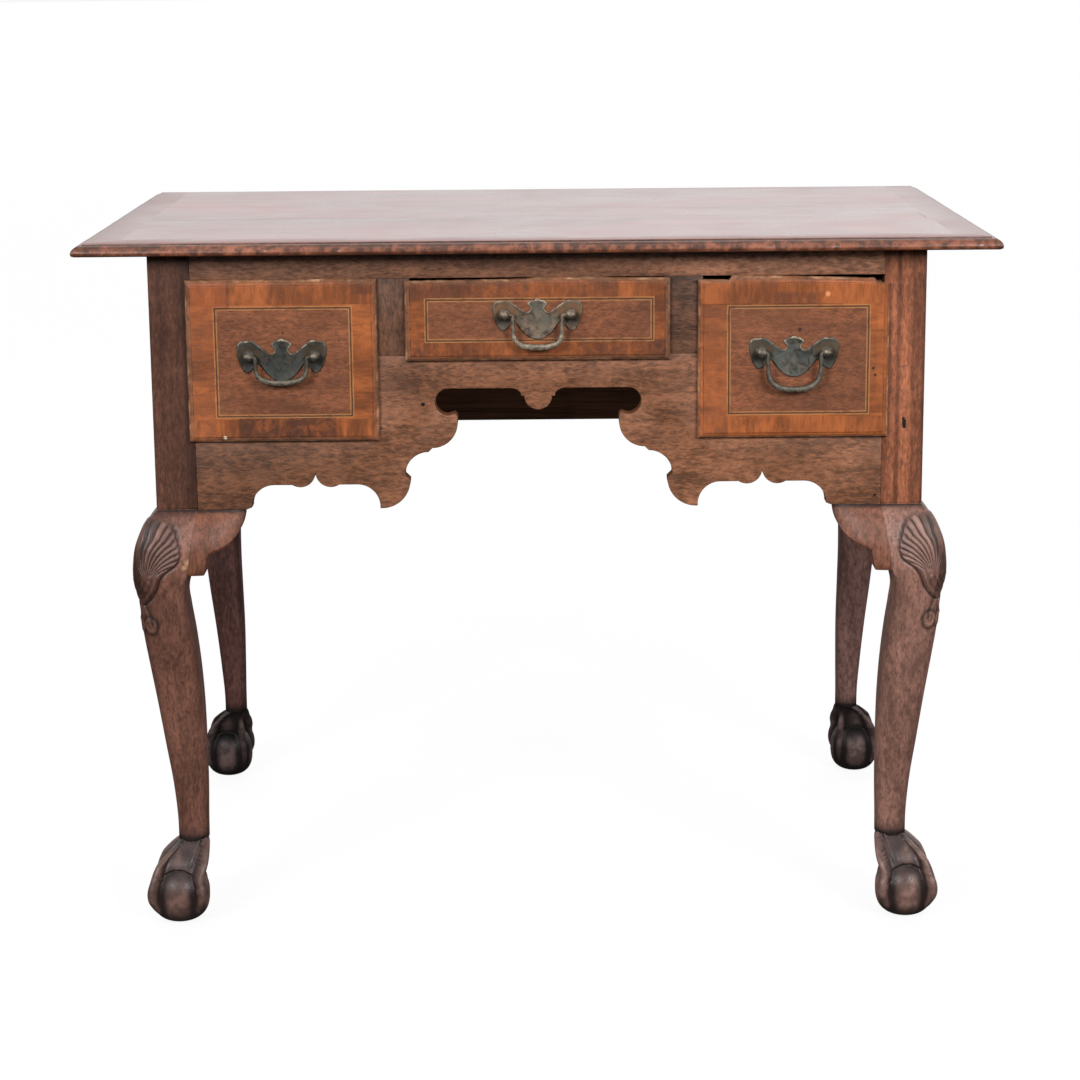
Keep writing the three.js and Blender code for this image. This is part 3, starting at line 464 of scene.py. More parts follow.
class LowboyWood(bpy.types.PropertyGroup):
    """Colours of the wood"""
    case: colour_property("Case", "Colour of the posts, rails and sides", (99, 66, 48))
    apron: colour_property("Apron", "Colour of the shaped board under the drawers", (127, 83, 58))
    field: colour_property("Drawer field", "Colour of the middle of the drawer fronts", (129, 77, 50))
    band: colour_property("Crossband", "Colour of the bands around the drawer fronts", (155, 85, 42))
    leg: colour_property("Legs", "Colour of the knees and shanks", (112, 68, 50))
    foot: colour_property("Feet", "Colour of the claws and balls", (66, 52, 49))
    top: colour_property("Top", "Colour of the top's boards", (142, 106, 103))
    border: colour_property("Border", "Colour of the top's border", (126, 74, 52))
    inner: colour_property("Inner wood", "Colour of the drawer boxes and runners", (156, 116, 84))
    lip: colour_property("Drawer lip", "Colour of the moulded edge of the drawer fronts", (126, 90, 69))
    line: colour_property("Stringing", "Colour of the light line in the drawer fronts", (188, 130, 78))


class LowboyBrass(bpy.types.PropertyGroup):
    """Colours of the brass"""
    dark: colour_property("Tarnish", "Colour of the tarnished brass", (66, 62, 55))
    green: colour_property("Verdigris", "Colour of the green bloom", (66, 72, 68))
    # Pale worn brass, which also paints the handles' highlights.
    wear_and_highlight: colour_property("Rubbed", "Colour of the rubbed edges", (190, 174, 152))


class LowboyCarving(bpy.types.PropertyGroup):
    """Sizes of the carving and of the boards' edges"""
    ribs: IntProperty(name="Ribs", description="Ribs of the shell on each face of a knee", default=7, min=3, max=14)
    rib_depth: length_property("Rib depth", "How deep the lines between the ribs are cut", 1.7)
    relief: length_property("Relief", "How far the shell stands out of the knee", 1.3)
    edge: length_property("Edge", "How far the boards' arrises are rounded over", 0.9)


class LowboyStage(bpy.types.PropertyGroup):
    """Light, floor and lens"""
    sky: FloatProperty(name="Sky", description="Strength of the soft sky", default=1.0, min=0, max=10)
    key: FloatProperty(name="Lamps", description="Power of each large lamp in watts", default=76, min=0, max=2000)
    glow: FloatProperty(name="Glow", description="How brightly the floor shines", default=0.9, min=0, max=1)
    lens: FloatProperty(name="Lens", description="Length of the lens in millimetres", default=83.546, min=10, max=300)
    floor: FloatProperty(name="Floor", description="Lightness of the floor", default=0.1, min=0, max=1)


# How bright each place of a board is, as (axis, ((place in millimetres, share), ...)).
DIVIDER_STRIPES = (2, ((600, 0.92), (672, 0.9), (679, 0.6)))
# The rail darkens just under the top: a painted shadow of the top's overhang. Across, it grows lighter towards the
# right.
RAIL_STRIPES = (
    (2, ((678, 1.1), (684, 1.28), (697, 1.36), (701, 0.8), (704, 0.3))),
    (0, ((-348, 0.9), (60, 1.1), (200, 1.6), (348, 1.85))),
)
APRON_STRIPES = ((0, ((-348, 0.7), (-200, 0.9), (0, 1.1), (200, 1.25), (348, 1.12))),)
# Shares of the leg colour for each shank and post, and of the foot colour for each foot. The rear legs' and feet's
# low shares paint the shade they stand in at the back.
LEG_TONES = {
    "front_left": ((0.88, 1.05, 1.29), (0.62, 0.66, 0.7)), "front_right": ((1.5, 2.1, 2.85), (1.62, 1.52, 1.3)),
    "rear_left": ((0.45, 0.56, 0.86), (0.6, 0.62, 0.66)), "rear_right": ((0.82, 1.2, 1.85), (0.7, 0.74, 0.8)),
}
FOOT_TONES = {
    "front_left": (0.68, 0.63, 0.63), "front_right": (0.76, 0.71, 0.71),
    "rear_left": (0.11, 0.17, 0.19), "rear_right": (0.14, 0.2, 0.22),
}
# How bright the shanks are at each height, with a painted sheen on the upper knee and painted shade at the knee line,
# and how bright the posts are, with a painted shadow just under the top.
LEG_STRIPES = ((100, 1.14), (270, 1.14), (345, 0.98), (400, 1.4), (436, 1.3), (442.5, 0.5))
POST_SHADE = ((KNEE_LINE, 1.0), (696, 1.04), (701, 0.7), (704, 0.3))
# Shares of the leg colour for the knee brackets, and of the inner wood's for the runners and the back.
BRACKET_TONES = {"left": (1.1, 1.13, 1.12), "right": (1.3, 1.42, 1.55)}
INNER_SHARE = (0.8, 0.8, 0.8)
BACK_SHARE = (0.78, 0.66, 0.74)
# Round marks, as (x, z, radius) in millimetres: pale scuffs, a long knot in the right posts, plugged holes.
SCUFFS = {"front_left": ((-357, 393, 4.6), (-352, 388, 4.2), (-361, 388, 3.4))}
POST_KNOT = ((369.6, 531.4, 1.9), (370.4, 529.0, 2.4), (370.2, 526.2, 2.6), (370.6, 523.4, 2.2))
APRON_HOLES = ((-116.5, 550.3, 2.4), (341.8, 452.6, 1.6))
# How bright the front posts are across their width.
POST_STRIPES = {
    "front_left": ((-390, 1.1), (-383, 1.25), (-380, 0.9), (-366, 1.0), (-359, 0.8), (-354, 0.5), (-348, 0.42)),
    "front_right": ((348, 0.7), (352, 0.8), (356, 1.15), (359.5, 1.25), (362, 0.62), (364, 0.62), (366.5, 1.25),
                    (370, 1.4), (375, 1.3), (378, 0.85), (386, 0.85), (388.3, 0.5), (390, 0.4)),
}


# The finishes of the pieces.

# Colours of holes, of grime in the top's seam, of painted shade with some grime in creases, cuts and quirks, and of
# the dark line in the drawer fronts, as amounts of light.
HOLE_DARK = (0.008, 0.005, 0.004)
LEG_SHADE_AND_DIRT = (0.012, 0.008, 0.007)
SEAM_DIRT = (0.02, 0.012, 0.009)
FRONT_SHADE_AND_DIRT = (0.015, 0.009, 0.007)
LINE_DARK = (0.03, 0.013, 0.008)
QUIRK_SHADE_AND_DIRT = (0.014, 0.008, 0.006)
BRASS_SHADE_AND_DIRT = (0.01, 0.009, 0.008)
# The share of the tarnish colour that the brown spots on a plate's wings have.
WING_SHARE = (1.5, 1.15, 0.8)
# Pale scuffs on a knee, and the pale wear with painted highlights on the drawer fronts' edges, as seen on a screen.
SCUFF_TONE = (176, 138, 104)
EDGE_WEAR_AND_HIGHLIGHT = (206, 160, 124)


def case_finish(name, axis, colour, shift=(0, 0, 0), contrast=0.5, along=100.0, marks=(), stripes=()):
    """Old brown case wood: its grain, a dull wax film, dust in the pores and small dark marks."""
    finish = Finish(name)
    tone = tuple(colour)
    shades = dark_to_light(tone, 1 - contrast, 1 + contrast)
    colour, height, cloud = grain(finish, axis, shades, along=along, shift=shift)
    smear = finish.spread(finish.noise(30, 5, 0.7, shift=shift), 0.46, 0.7, 0, 0.42)
    colour = finish.mix(smear, colour, scaled(tone, 1.25, 0.01))
    scuff = finish.spread(finish.noise(24, 5, 0.7, shift=tuple(s + 3 for s in shift)), 0.54, 0.66, 0, 0.4)
    colour = finish.mix(scuff, colour, scaled(tone, 0.45))
    # Stripes make the board lighter or darker along an axis; on the rail they paint the shadow under the top.
    for axis_across, stops in stripes:
        colour = finish.stripes(colour, axis_across, stops)
    if marks:
        colour = finish.spots(colour, marks, HOLE_DARK)
    rough = finish.spread(cloud, 0.3, 0.7, 0.4, 0.56)
    return finish.seal(colour, rough, height, 0.0004, 0.5, gloss=0.4)


def leg_finish(name, tone, foot, shift, post=None, stripes=(), marks=(), gloss=0.4, scuffs=()):
    """Leg wood: upright grain, painted shade with some grime in the creases and cuts that the shape marks,
    and pale wear with painted highlights where it marks them.

    On a leg the wood is lighter or darker by its height, with a painted sheen on the upper knee and painted
    shade at the knee line, and the post above the knee line has a tone and stripes of its own.
    """
    finish = Finish(name)
    colour, height, cloud = grain(finish, 2, dark_to_light(tone, 0.64, 1.38), along=90, shift=shift)
    if post is not None:
        above = finish.spread(finish.axis(2), (KNEE_LINE - 0.5) * METRE, (KNEE_LINE + 0.5) * METRE)
        post_wood = finish.tinted(colour, tuple(p / max(c, 1e-4) for p, c in zip(post, tone)))
        # The post is darker just under the top: a painted shadow.
        post_wood = finish.stripes(post_wood, 2, POST_SHADE)
        if stripes:
            post_wood = finish.stripes(post_wood, 0, stripes)
        colour = finish.mix(above, finish.stripes(colour, 2, LEG_STRIPES), post_wood)
    speck = finish.spread(finish.noise(170, 3, 0.6, shift=shift), 0.56, 0.66, 0, 0.5)
    colour = finish.mix(speck, colour, scaled(tone, 0.42))
    mottle = finish.spread(finish.noise(60, 4, 0.65, shift=shift), 0.35, 0.65)
    claw = finish.mix(mottle, scaled(foot, 0.62), scaled(foot, 1.35))
    colour = finish.mix(finish.mark("foot"), colour, claw)
    stain = finish.spread(finish.noise(90, 4, 0.65, shift=shift), 0.4, 0.6)
    # Pale wear, with painted highlights on the claws and on the carving's ribs.
    worn = finish.sum("MULTIPLY", finish.mark("wear_and_highlight"), finish.spread(stain, 0, 1, 0.4, 1.0))
    colour = finish.mix(worn, colour, scaled(tone, 1.35, 0.055))
    # Painted shade with some grime in the creases, the cuts and the lines that the shape marks.
    colour = finish.mix(finish.mark("shade_and_dirt"), colour, LEG_SHADE_AND_DIRT)
    if marks:
        colour = finish.spots(colour, marks, HOLE_DARK)
    if scuffs:
        colour = finish.spots(colour, scuffs, linear(SCUFF_TONE), soft=0.8)
    rough = finish.spread(cloud, 0.3, 0.7, 0.36, 0.5)
    return finish.seal(colour, rough, height, 0.0004, 0.45, gloss=gloss)


def top_finish(name, colour, axis, shift):
    """The waxed top boards: fine grain, a clouded polish, the shrunk seam and a short crack.

    The seam follows a line a little askew with a ripple added, and fades out to the right. The crack runs
    across the front board near its right end. The boards' rear edge, under their surface, is dark.
    """
    finish = Finish(name)
    tone = tuple(colour)
    shades = dark_to_light(tone, 0.75, 1.25)
    colour, height, cloud = grain(finish, axis, shades, across=60, along=5, shift=shift, streak=0.12, tight=0.12)
    patch = finish.spread(finish.noise(7, 5, 0.7, 0.6, shift=shift, stretch=(0.5, 1.6, 1)), 0.42, 0.66, 0, 0.4)
    colour = finish.mix(patch, colour, scaled(tone, 0.55))
    x, y = finish.axis(0), finish.axis(1)
    course = finish.sum("MULTIPLY_ADD", x, 0.055, -0.032)
    ripple = finish.sum("MULTIPLY", finish.sum("SUBTRACT", finish.noise(9, 3, stretch=(1, 0, 0)), 0.5), 0.008)
    off = finish.sum("ABSOLUTE", finish.sum("SUBTRACT", y, finish.sum("ADD", course, ripple)))
    seam = finish.spread(off, 0.0022, 0.0006)
    seam = finish.sum("MULTIPLY", seam, finish.spread(x, 0.1, -0.12))
    off = finish.sum("ABSOLUTE", finish.sum("SUBTRACT", x, finish.sum("MULTIPLY_ADD", ripple, 0.4, 0.4115)))
    crack = finish.sum("MULTIPLY", finish.spread(off, 0.0012, 0.0004), finish.spread(y, -0.02, -0.035))
    crack = finish.sum("MULTIPLY", crack, finish.spread(y, -0.097, -0.085))
    colour = finish.mix(finish.sum("MAXIMUM", seam, crack), colour, SEAM_DIRT)
    rear_edge = finish.spread(finish.axis(2), (HEIGHT - 0.3) * METRE, (HEIGHT - 0.9) * METRE)
    colour = finish.mix(rear_edge, colour, scaled(tone, (0.42, 0.3, 0.22)))
    rough = finish.spread(cloud, 0.3, 0.7, 0.22, 0.36)
    return finish.seal(colour, rough, height, 0.00005, 0.12, gloss=0.65)


def inner_finish(name, axis, colour, shift):
    """Dry inner wood with no polish: open grain, dust and dirt."""
    finish = Finish(name)
    tone = tuple(colour)
    shades = dark_to_light(tone, 0.55, 1.3)
    colour, height, cloud = grain(finish, axis, shades, across=260, along=6, shift=shift, streak=0.45)
    darkening = finish.spread(finish.noise(14, 4, 0.65, shift=shift), 0.5, 0.74, 0, 0.55)
    colour = finish.mix(darkening, colour, scaled(tone, 0.35))
    return finish.seal(colour, finish.spread(cloud, 0.3, 0.7, 0.62, 0.8), height, 0.0005, 0.6, gloss=0.25)


def front_finish(name, wood, low, high, patches, marks, mitred, shift):
    """A drawer front: a field, a dark line between two light ones around it, crossbands and a duller lip.

    A place is in the field where the larger of its distances beyond the field's width and height is below
    nought, and the lines follow that distance with a little chance added. Patches of the bands are boxes
    with soft edges, broken up by chance.
    """
    finish = Finish(name)
    middle = [(a + b) / 2 * METRE for a, b in zip(low, high)]
    half = [(b - a) / 2 * METRE for a, b in zip(low, high)]
    over_x, over_z = finish.beyond(0, middle[0], half[0]), finish.beyond(2, middle[1], half[1])
    out = finish.sum("MAXIMUM", over_x, over_z)
    waved = finish.sum("ADD", out, finish.sum("MULTIPLY", finish.sum("SUBTRACT", finish.noise(60, 2), 0.5), 0.0008))

    field = tuple(wood.field)
    shades = dark_to_light(field, 0.64, 1.32)
    inside, inner_height, _ = grain(finish, 0, shades, across=340, along=120, shift=shift)
    swirl = finish.spread(finish.noise(32, 5, 0.7, 1.5, shift=shift, stretch=(0.6, 1, 1)), 0.42, 0.62, 0, 0.4)
    inside = finish.mix(swirl, inside, scaled(field, 0.62))

    orange = tuple(wood.band)
    look = {"tones": dark_to_light(orange, 0.6, 1.35), "across": 150, "along": 36, "figure": 0.55, "streak": 0.3}
    upright, height_up, _ = grain(finish, 2, shift=shift, **look)
    level, _, _ = grain(finish, 0, shift=shift, **look)
    side_band = finish.sum("GREATER_THAN", over_x, over_z) if mitred else finish.sum("LESS_THAN", over_z, 0.0035)
    bands = finish.mix(side_band, upright, level)
    mottle = finish.spread(finish.noise(30, 5, 0.7, 1.0, shift=shift), 0.5, 0.66, 0, 0.55)
    bands = finish.mix(mottle, bands, scaled(orange, 0.5))
    patchy = finish.spread(finish.noise(110, 4, 0.7, 0.8, shift=shift), 0.34, 0.58, 0.25, 1.0)
    for x0, z0, x1, z1, tone, strength in patches:
        box = None
        for axis, start, end in ((0, x0, x1), (2, z0, z1)):
            for value, from_place, to_place in ((start, -1.5, 1.5), (end, 1.5, -1.5)):
                step = finish.spread(finish.axis(axis), (value + from_place) * METRE, (value + to_place) * METRE)
                box = step if box is None else finish.sum("MULTIPLY", box, step)
        share = finish.sum("MULTIPLY", finish.sum("MULTIPLY", box, patchy), strength)
        bands = finish.mix(share, bands, linear(tone))

    outside = finish.sum("GREATER_THAN", waved, 0.0)
    colour = finish.mix(outside, inside, bands)
    height = finish.sum("ADD", finish.sum("MULTIPLY", outside, height_up), inner_height)
    light_line = finish.spread(finish.sum("ABSOLUTE", waved), 0.0023, 0.0018)
    dark_line = finish.spread(finish.sum("ABSOLUTE", waved), 0.0010, 0.0005)
    gone = finish.spread(finish.noise(70, 3, 0.6, shift=shift), 0.4, 0.5, 0.45, 1.0)
    light_line = finish.sum("MULTIPLY", light_line, finish.sum("MULTIPLY", gone, 0.62))
    colour = finish.mix(light_line, colour, tuple(wood.line))
    colour = finish.mix(finish.sum("MULTIPLY", dark_line, 0.85), colour, LINE_DARK)

    blot = finish.spread(finish.noise(80, 5, 0.7, 0.4, shift=shift), 0.4, 0.62, 0.6, 1.25)
    lip = finish.shaded(finish.mix(0.4, tuple(wood.lip), colour), blot)
    colour = finish.mix(finish.mark("lip"), colour, lip)
    for x, z, size, tone in marks:
        colour = finish.spots(colour, [(x, z, size)], linear(tone), soft=0.6)
    # Pale wear with painted highlights on the lip's edges, then painted shade with some grime in the quirk.
    rub = finish.spread(finish.noise(100, 4, 0.65, shift=shift), 0.42, 0.6, 0.25, 1.0)
    colour = finish.mix(finish.sum("MULTIPLY", finish.mark("wear_and_highlight"), rub), colour, linear(EDGE_WEAR_AND_HIGHLIGHT))
    colour = finish.mix(finish.mark("shade_and_dirt"), colour, FRONT_SHADE_AND_DIRT)
    rough = finish.spread(finish.noise(11, 3, 0.6, shift=shift), 0.3, 0.7, 0.38, 0.54)
    return finish.seal(colour, rough, height, 0.00035, 0.45, gloss=0.4)


def brass_finish(name, brass, shift, bloom, shine, wings=()):
    """Old brass: dark tarnish, a green bloom in patches and paler worn metal, which also paints highlights.

    On a plate the wings around the studs are browner, with a spot of painted shade under each.
    """
    finish = Finish(name)
    cloud = finish.noise(150, 5, 0.7, 0.5, shift=shift)
    dark = scaled(brass.dark, shine)
    colour = finish.mix(finish.spread(cloud, 0.4, 0.6), scaled(dark, 0.45), scaled(dark, 1.8))
    patch = finish.spread(finish.noise(60, 4, 0.65, 0.3, shift=shift), 0.42, 0.6, 0, bloom)
    colour = finish.mix(patch, colour, scaled(brass.green, shine))
    # Pale worn metal and painted highlights where the shape marks them, then painted shade with some grime.
    rub = finish.spread(finish.noise(240, 3, 0.6, shift=shift), 0.38, 0.58, 0.25, 1.0)
    colour = finish.mix(finish.sum("MULTIPLY", finish.mark("wear_and_highlight"), rub), colour, tuple(brass.wear_and_highlight))
    colour = finish.mix(finish.mark("shade_and_dirt"), colour, BRASS_SHADE_AND_DIRT)
    if wings:
        colour = finish.spots(colour, wings, scaled(dark, WING_SHARE), soft=0.6)
        # A spot of painted shade under each wing spot.
        wing_shade = [(x, z - 7, size * 0.9) for x, z, size in wings]
        colour = finish.spots(colour, wing_shade, scaled(brass.dark, 0.4), soft=0.8)
    rough = finish.spread(cloud, 0.35, 0.65, 0.42, 0.62)
    height = finish.noise(600, 4, 0.6, shift=shift)
    return finish.seal(colour, rough, height, 0.0003, 0.5, gloss=0.5, metal=0.35)


# The top.

THUMB = 10
QUIRK = 1.5
# Wear of the thumb: how deep its dents are, the pitch of its slow waves and the seed of both.
BORDER_WEAR = {"front": (1.6, 41, 5), "side": (1.4, 37, 7)}


def border_profile():
    """The border's section: flat on top, a small quirk, a rounded thumb, and back under; setbacks and heights."""
    tip = TOP_UNDERSIDE + 3
    thumb = arc((THUMB, tip), (THUMB, HEIGHT - QUIRK - tip), 2, 1, 14)[::-1]
    quirk = [(BORDER_WIDTH, HEIGHT), (THUMB + 1, HEIGHT), (THUMB + 0.5, HEIGHT - 0.3), (THUMB + 0.2, HEIGHT - QUIRK)]
    foot = [(0.6, TOP_UNDERSIDE + 1.2), (3, TOP_UNDERSIDE), (BORDER_WIDTH, TOP_UNDERSIDE)]
    return np.array([*quirk, *thumb[1:], *foot], float)


def border_piece(which, finish):
    """A border: the section carried along its edge, mitred where two meet, with dents worn in the thumb.

    A row of the grid starts and ends at the section's setback from each mitre. The dents are the parts of
    a chance wave above a level, plus a slower wave, and only the thumb has them.
    """
    profile = border_profile()
    setback, height = profile[:, 0], profile[:, 1]
    thumb = smooth_step(THUMB + 1, THUMB - 3, setback) * smooth_step(TOP_UNDERSIDE - 1, TOP_UNDERSIDE + 4, height)
    dent, pitch, seed = BORDER_WEAR["front" if which == "front" else "side"]
    if which == "front":
        share = np.linspace(-1, 1, 361)[:, None]
        along = share * (TOP_HALF - setback[None])
    else:
        share = np.linspace(0, 1, 221)[:, None]
        start = TOP_FRONT + setback[None]
        along = start + share * (TOP_BACK - start)
    worn = np.maximum(0, waver(along, 9, seed) - 0.55) * dent + 0.25 * waver(along, pitch, seed + 1)
    if which != "front":
        worn = worn * smooth_step(0, 0.04, share)
    inwards = setback[None] + worn * thumb[None]
    x, y = (along, TOP_FRONT + inwards) if which == "front" else (TOP_HALF - inwards, along)
    z = np.broadcast_to(height[None], x.shape)
    rings = np.stack([x, y, z], -1)
    if which == "left":
        rings = flipped(rings)
    points, faces = closed_rings(rings, flat_ends=True)
    # Pale wear with a painted highlight along the thumb's upper front, and painted shade with some grime in the
    # quirk.
    wear_and_highlight = np.broadcast_to((smooth_step(4, 0, setback) * smooth_step(708, 711, height))[None], x.shape)
    shade_and_dirt = np.broadcast_to((np.abs(height - (HEIGHT - 1.2)) < 0.7)[None], x.shape) * 0.8
    marks = {"wear_and_highlight": 0.5 * wear_and_highlight, "shade_and_dirt": shade_and_dirt}
    return put_piece(f"border_{which}", points, faces, "case", [f"top_border_{which}"], finish, marks=marks)


def border_finish(name, wood, axis, shift):
    """The crossbanded border: grain across it, red-brown on the worn thumb, painted shade with some grime in the
    quirk and a painted highlight along the thumb's upper front.
    """
    finish = Finish(name)
    tone = tuple(wood.border)
    shades = dark_to_light(tone, 0.5, 1.45)
    colour, height, cloud = grain(finish, axis, shades, across=150, along=60, shift=shift, streak=0.4)
    low = finish.spread(finish.axis(2), (HEIGHT - 1.1) * METRE, (HEIGHT - 2.3) * METRE)
    blot = finish.spread(finish.noise(60, 4, 0.7, 0.5, shift=shift, stretch=(1, 1, 0.4)), 0.42, 0.56, 0.05, 0.95)
    colour = finish.mix(finish.sum("MULTIPLY", low, blot), colour, scaled(tone, 0.3))
    upper = finish.spread(finish.axis(2), (HEIGHT - 0.7) * METRE, (HEIGHT - 0.2) * METRE)
    colour = finish.mix(upper, colour, finish.mix(0.85, colour, scaled(wood.top, 0.92)))
    # Painted shade in the quirk, then pale wear with a painted highlight on the thumb.
    colour = finish.mix(finish.mark("shade_and_dirt"), colour, QUIRK_SHADE_AND_DIRT)
    rub = finish.spread(finish.noise(130, 3, 0.6, shift=shift), 0.45, 0.62)
    colour = finish.mix(finish.sum("MULTIPLY", finish.mark("wear_and_highlight"), rub), colour, scaled(tone, 2.1))
    rough = finish.spread(cloud, 0.3, 0.7, 0.26, 0.4)
    return finish.seal(colour, rough, height, 0.00008, 0.16, gloss=0.6)


# The carcase.

ARCH_RISE = 25
COVE = 23
CUSP = 15.5
CUSP_OVER = 2.5
# The rounds of the apron right of its middle: place across, height as a share of the rise from the knee line
# to the hook, half width, and half height as a share of the rise.
HOOK = 13.8
PENDANT = 14
SLOT_ROUND = 8
SLOT_DROP = 34
UPPER_COVE = (107.8, 0.922, 26, 0.272)
LOBE = (111.8, 0.356, 24, 0.252)
LOWER_COVE = (159.8, 0.304, 29, 0.304)
SIDE_ARCH = (161.8, 292.7)


def cusped_arch(start, end, baseline):
    """A side arch: a cove up at each end and a cusp hanging in the middle."""
    half = (end - start) / 2
    middle = start + half
    top = baseline + ARCH_RISE
    cusp_top = top - CUSP_OVER + CUSP
    lean = math.acos(1 - CUSP_OVER / CUSP) / QUARTER
    rising = np.vstack([
        arc((start + half * 0.352, top - COVE), (half * 0.352, COVE), 2, 1),
        arc((middle - half * 0.237, cusp_top), (half * 0.237, CUSP), 3 - lean, 4),
    ])
    falling = np.stack([2 * middle - rising[:-1, 0], rising[:-1, 1]], -1)[::-1]
    return np.vstack([rising, falling])


def apron_outline():
    """The apron: pendant, slots, lobes and coves from the middle to the right, mirrored to the left."""
    slot_top = CENTER_OPENING_BOTTOM - SLOT_DROP
    slot_middle = slot_top - HOOK
    hook = slot_middle - HOOK
    rise = hook - KNEE_LINE

    def round_part(form, start, end):
        """One cove or lobe, as a piece of an ellipse."""
        across, up, half_width, half_height = form
        return arc((across, KNEE_LINE + rise * up), (half_width, rise * half_height), start, end)

    half = np.vstack([
        arc((0, slot_top - SLOT_ROUND), (PENDANT, PENDANT), 3, 4),
        arc((27.5, slot_top - SLOT_ROUND), (10.5, SLOT_ROUND), 2, 1, 10),
        arc((90.5, slot_middle), (HOOK, HOOK), 1, -1, 30),
        [(84.5, hook + 2), (81.8, hook)],
        round_part(UPPER_COVE, 2, 3),
        round_part(LOBE, 1, 0),
        round_part(LOWER_COVE, 2, 3),
        [(SIDE_ARCH[0], KNEE_LINE)],
        cusped_arch(*SIDE_ARCH, KNEE_LINE),
        [(SIDE_ARCH[1] + 5, KNEE_LINE), (POST_INNER, KNEE_LINE), (POST_INNER, SIDE_OPENING_BOTTOM)],
        [(DIVIDER_OUTER, SIDE_OPENING_BOTTOM), (DIVIDER_OUTER, CENTER_OPENING_BOTTOM)],
    ])
    return without_repeats(np.vstack([half, (half[1:] * [-1, 1])[::-1]]))


def side_outline():
    """A side panel: a flat arch with a cove at each end under a plain board."""
    top = KNEE_LINE + ARCH_RISE
    start, end = FRONT_POST_REAR + 52.5, REAR_POST_FRONT - 52.5
    return without_repeats(np.vstack([
        [(FRONT_POST_REAR, KNEE_LINE), (start - 5, KNEE_LINE)],
        arc((start + COVE, top - COVE), (COVE, COVE), 2, 1),
        arc((end - COVE, top - COVE), (COVE, COVE), 1, 0),
        [(end + 5, KNEE_LINE), (REAR_POST_FRONT, KNEE_LINE)],
        [(REAR_POST_FRONT, TOP_UNDERSIDE), (FRONT_POST_REAR, TOP_UNDERSIDE)],
    ]))


# The legs, in distances u and v outwards from the carcase corner.

FRONT_SHANK = [
    (0.944, 0.515, 0.66), (0.884, 0.475, 0.7), (0.797, 0.43, 0.78), (0.674, 0.325, 0.865),
    (0.54, 0.2, 0.92), (0.364, 0.045, 0.94), (0.203, -0.095, 0.935), (0.062, -0.16, 0.91), (0, -0.16, 0.905),
]
REAR_SHANK = [
    (0.944, 0.57, 0.64), (0.884, 0.54, 0.6), (0.797, 0.48, 0.58), (0.674, 0.4, 0.58),
    (0.54, 0.3, 0.61), (0.364, 0.15, 0.65), (0.203, 0.04, 0.65), (0.062, -0.03, 0.64), (0, -0.03, 0.64),
]
KNEE_SHARES = [(0, 0), (0.09, 0.28), (0.2, 0.52), (0.33, 0.7), (0.5, 0.87), (0.76, 0.98), (1, 1)]

# Heights above the floor and distances from the foot's middle: the claws' outward and inward places,
# their thickness, and the web between them from its foot to its top.
CLAW_OUT = [(90, -10), (86, -6.6), (82, -1.6), (79, 3), (76, 6.6), (70, 13), (66, 16.8), (59, 20.4), (54, 21.8),
            (48, 23.8), (40, 26), (33, 26.4), (26, 25.4), (20, 23.2), (13, 19.6), (8, 16), (4, 12.5), (0, 8)]
CLAW_IN = [(90, 25.4), (86, 28.2), (80, 29.3), (73, 29.4), (66, 28.6), (59, 26.4), (54, 24.6), (48, 24),
           (40, 25.5), (33, 26.1), (26, 25.2), (20, 23), (13, 19.3), (8, 15.8), (4, 12.3), (0, 8)]
CLAW_THICK = [(90, 2.2), (86, 2.8), (82, 3.1), (76, 3.3), (70, 3.5), (65, 3.7), (59, 4), (55, 4.5), (51, 4.5),
              (46, 4.4), (40, 4.7), (33, 4.9), (26, 4.8), (20, 4.3), (13, 3.6), (8, 2.9), (4, 2.1), (0, 1)]
WEB_OUT = [(88, -3), (84, 0), (80, 3.5), (76, 7), (70, 12.6), (64, 16.5), (58.5, 18.5), (54, 20), (50, 21.5),
           (46, 23), (43, 24)]
WEB_IN = [(88, 24.6), (84, 24), (80, 22.6), (76, 21.6), (70, 20), (64, 18.8), (58.5, 18.5), (54, 19.5),
          (50, 21), (46, 23), (43, 24)]
BALL_RADIUS = 30.4
BALL_HALF = 31.2
BALL_MIDDLE = 30.6
BALL_SQUARE = 2.9
CLAW_TUCK = 5
WEB_FOOT, WEB_TOP = 43, 88
FOOT_TOP = 90
# The distance given to a form where it has ended, and where the rays start, outside every form.
FAR_OFF = 60.0
RAY_START = 76.0

# The shell's rim on each face of the knee: height and distance in from the outer corner.
SHELL_RIM = [(345, -4), (349, 2), (354, 9), (360, 14.5), (368, 19.5), (376, 24), (382, 29), (386, 34),
             (389.5, 39), (396, 42.8), (404.6, 43), (414, 38.5), (425, 30.5), (430.5, 24), (434.5, 15),
             (437, 4), (438.5, -6)]
SHELL_FOOT, SHELL_TOP = 347, 439
# Where the ribs meet, the degrees they fan over, and how far they bend near there, within what distance.
SHELL_HEART = (13.5, 374)
FAN = 66
BEND = 24
BEND_REACH = 42
# The beads in the shell's heart and the scroll under it: distance in from the outer corner and height.
HEART_BEADS = ((15, 384), (16, 378), (14, 372))
SCROLL = (7, 326)


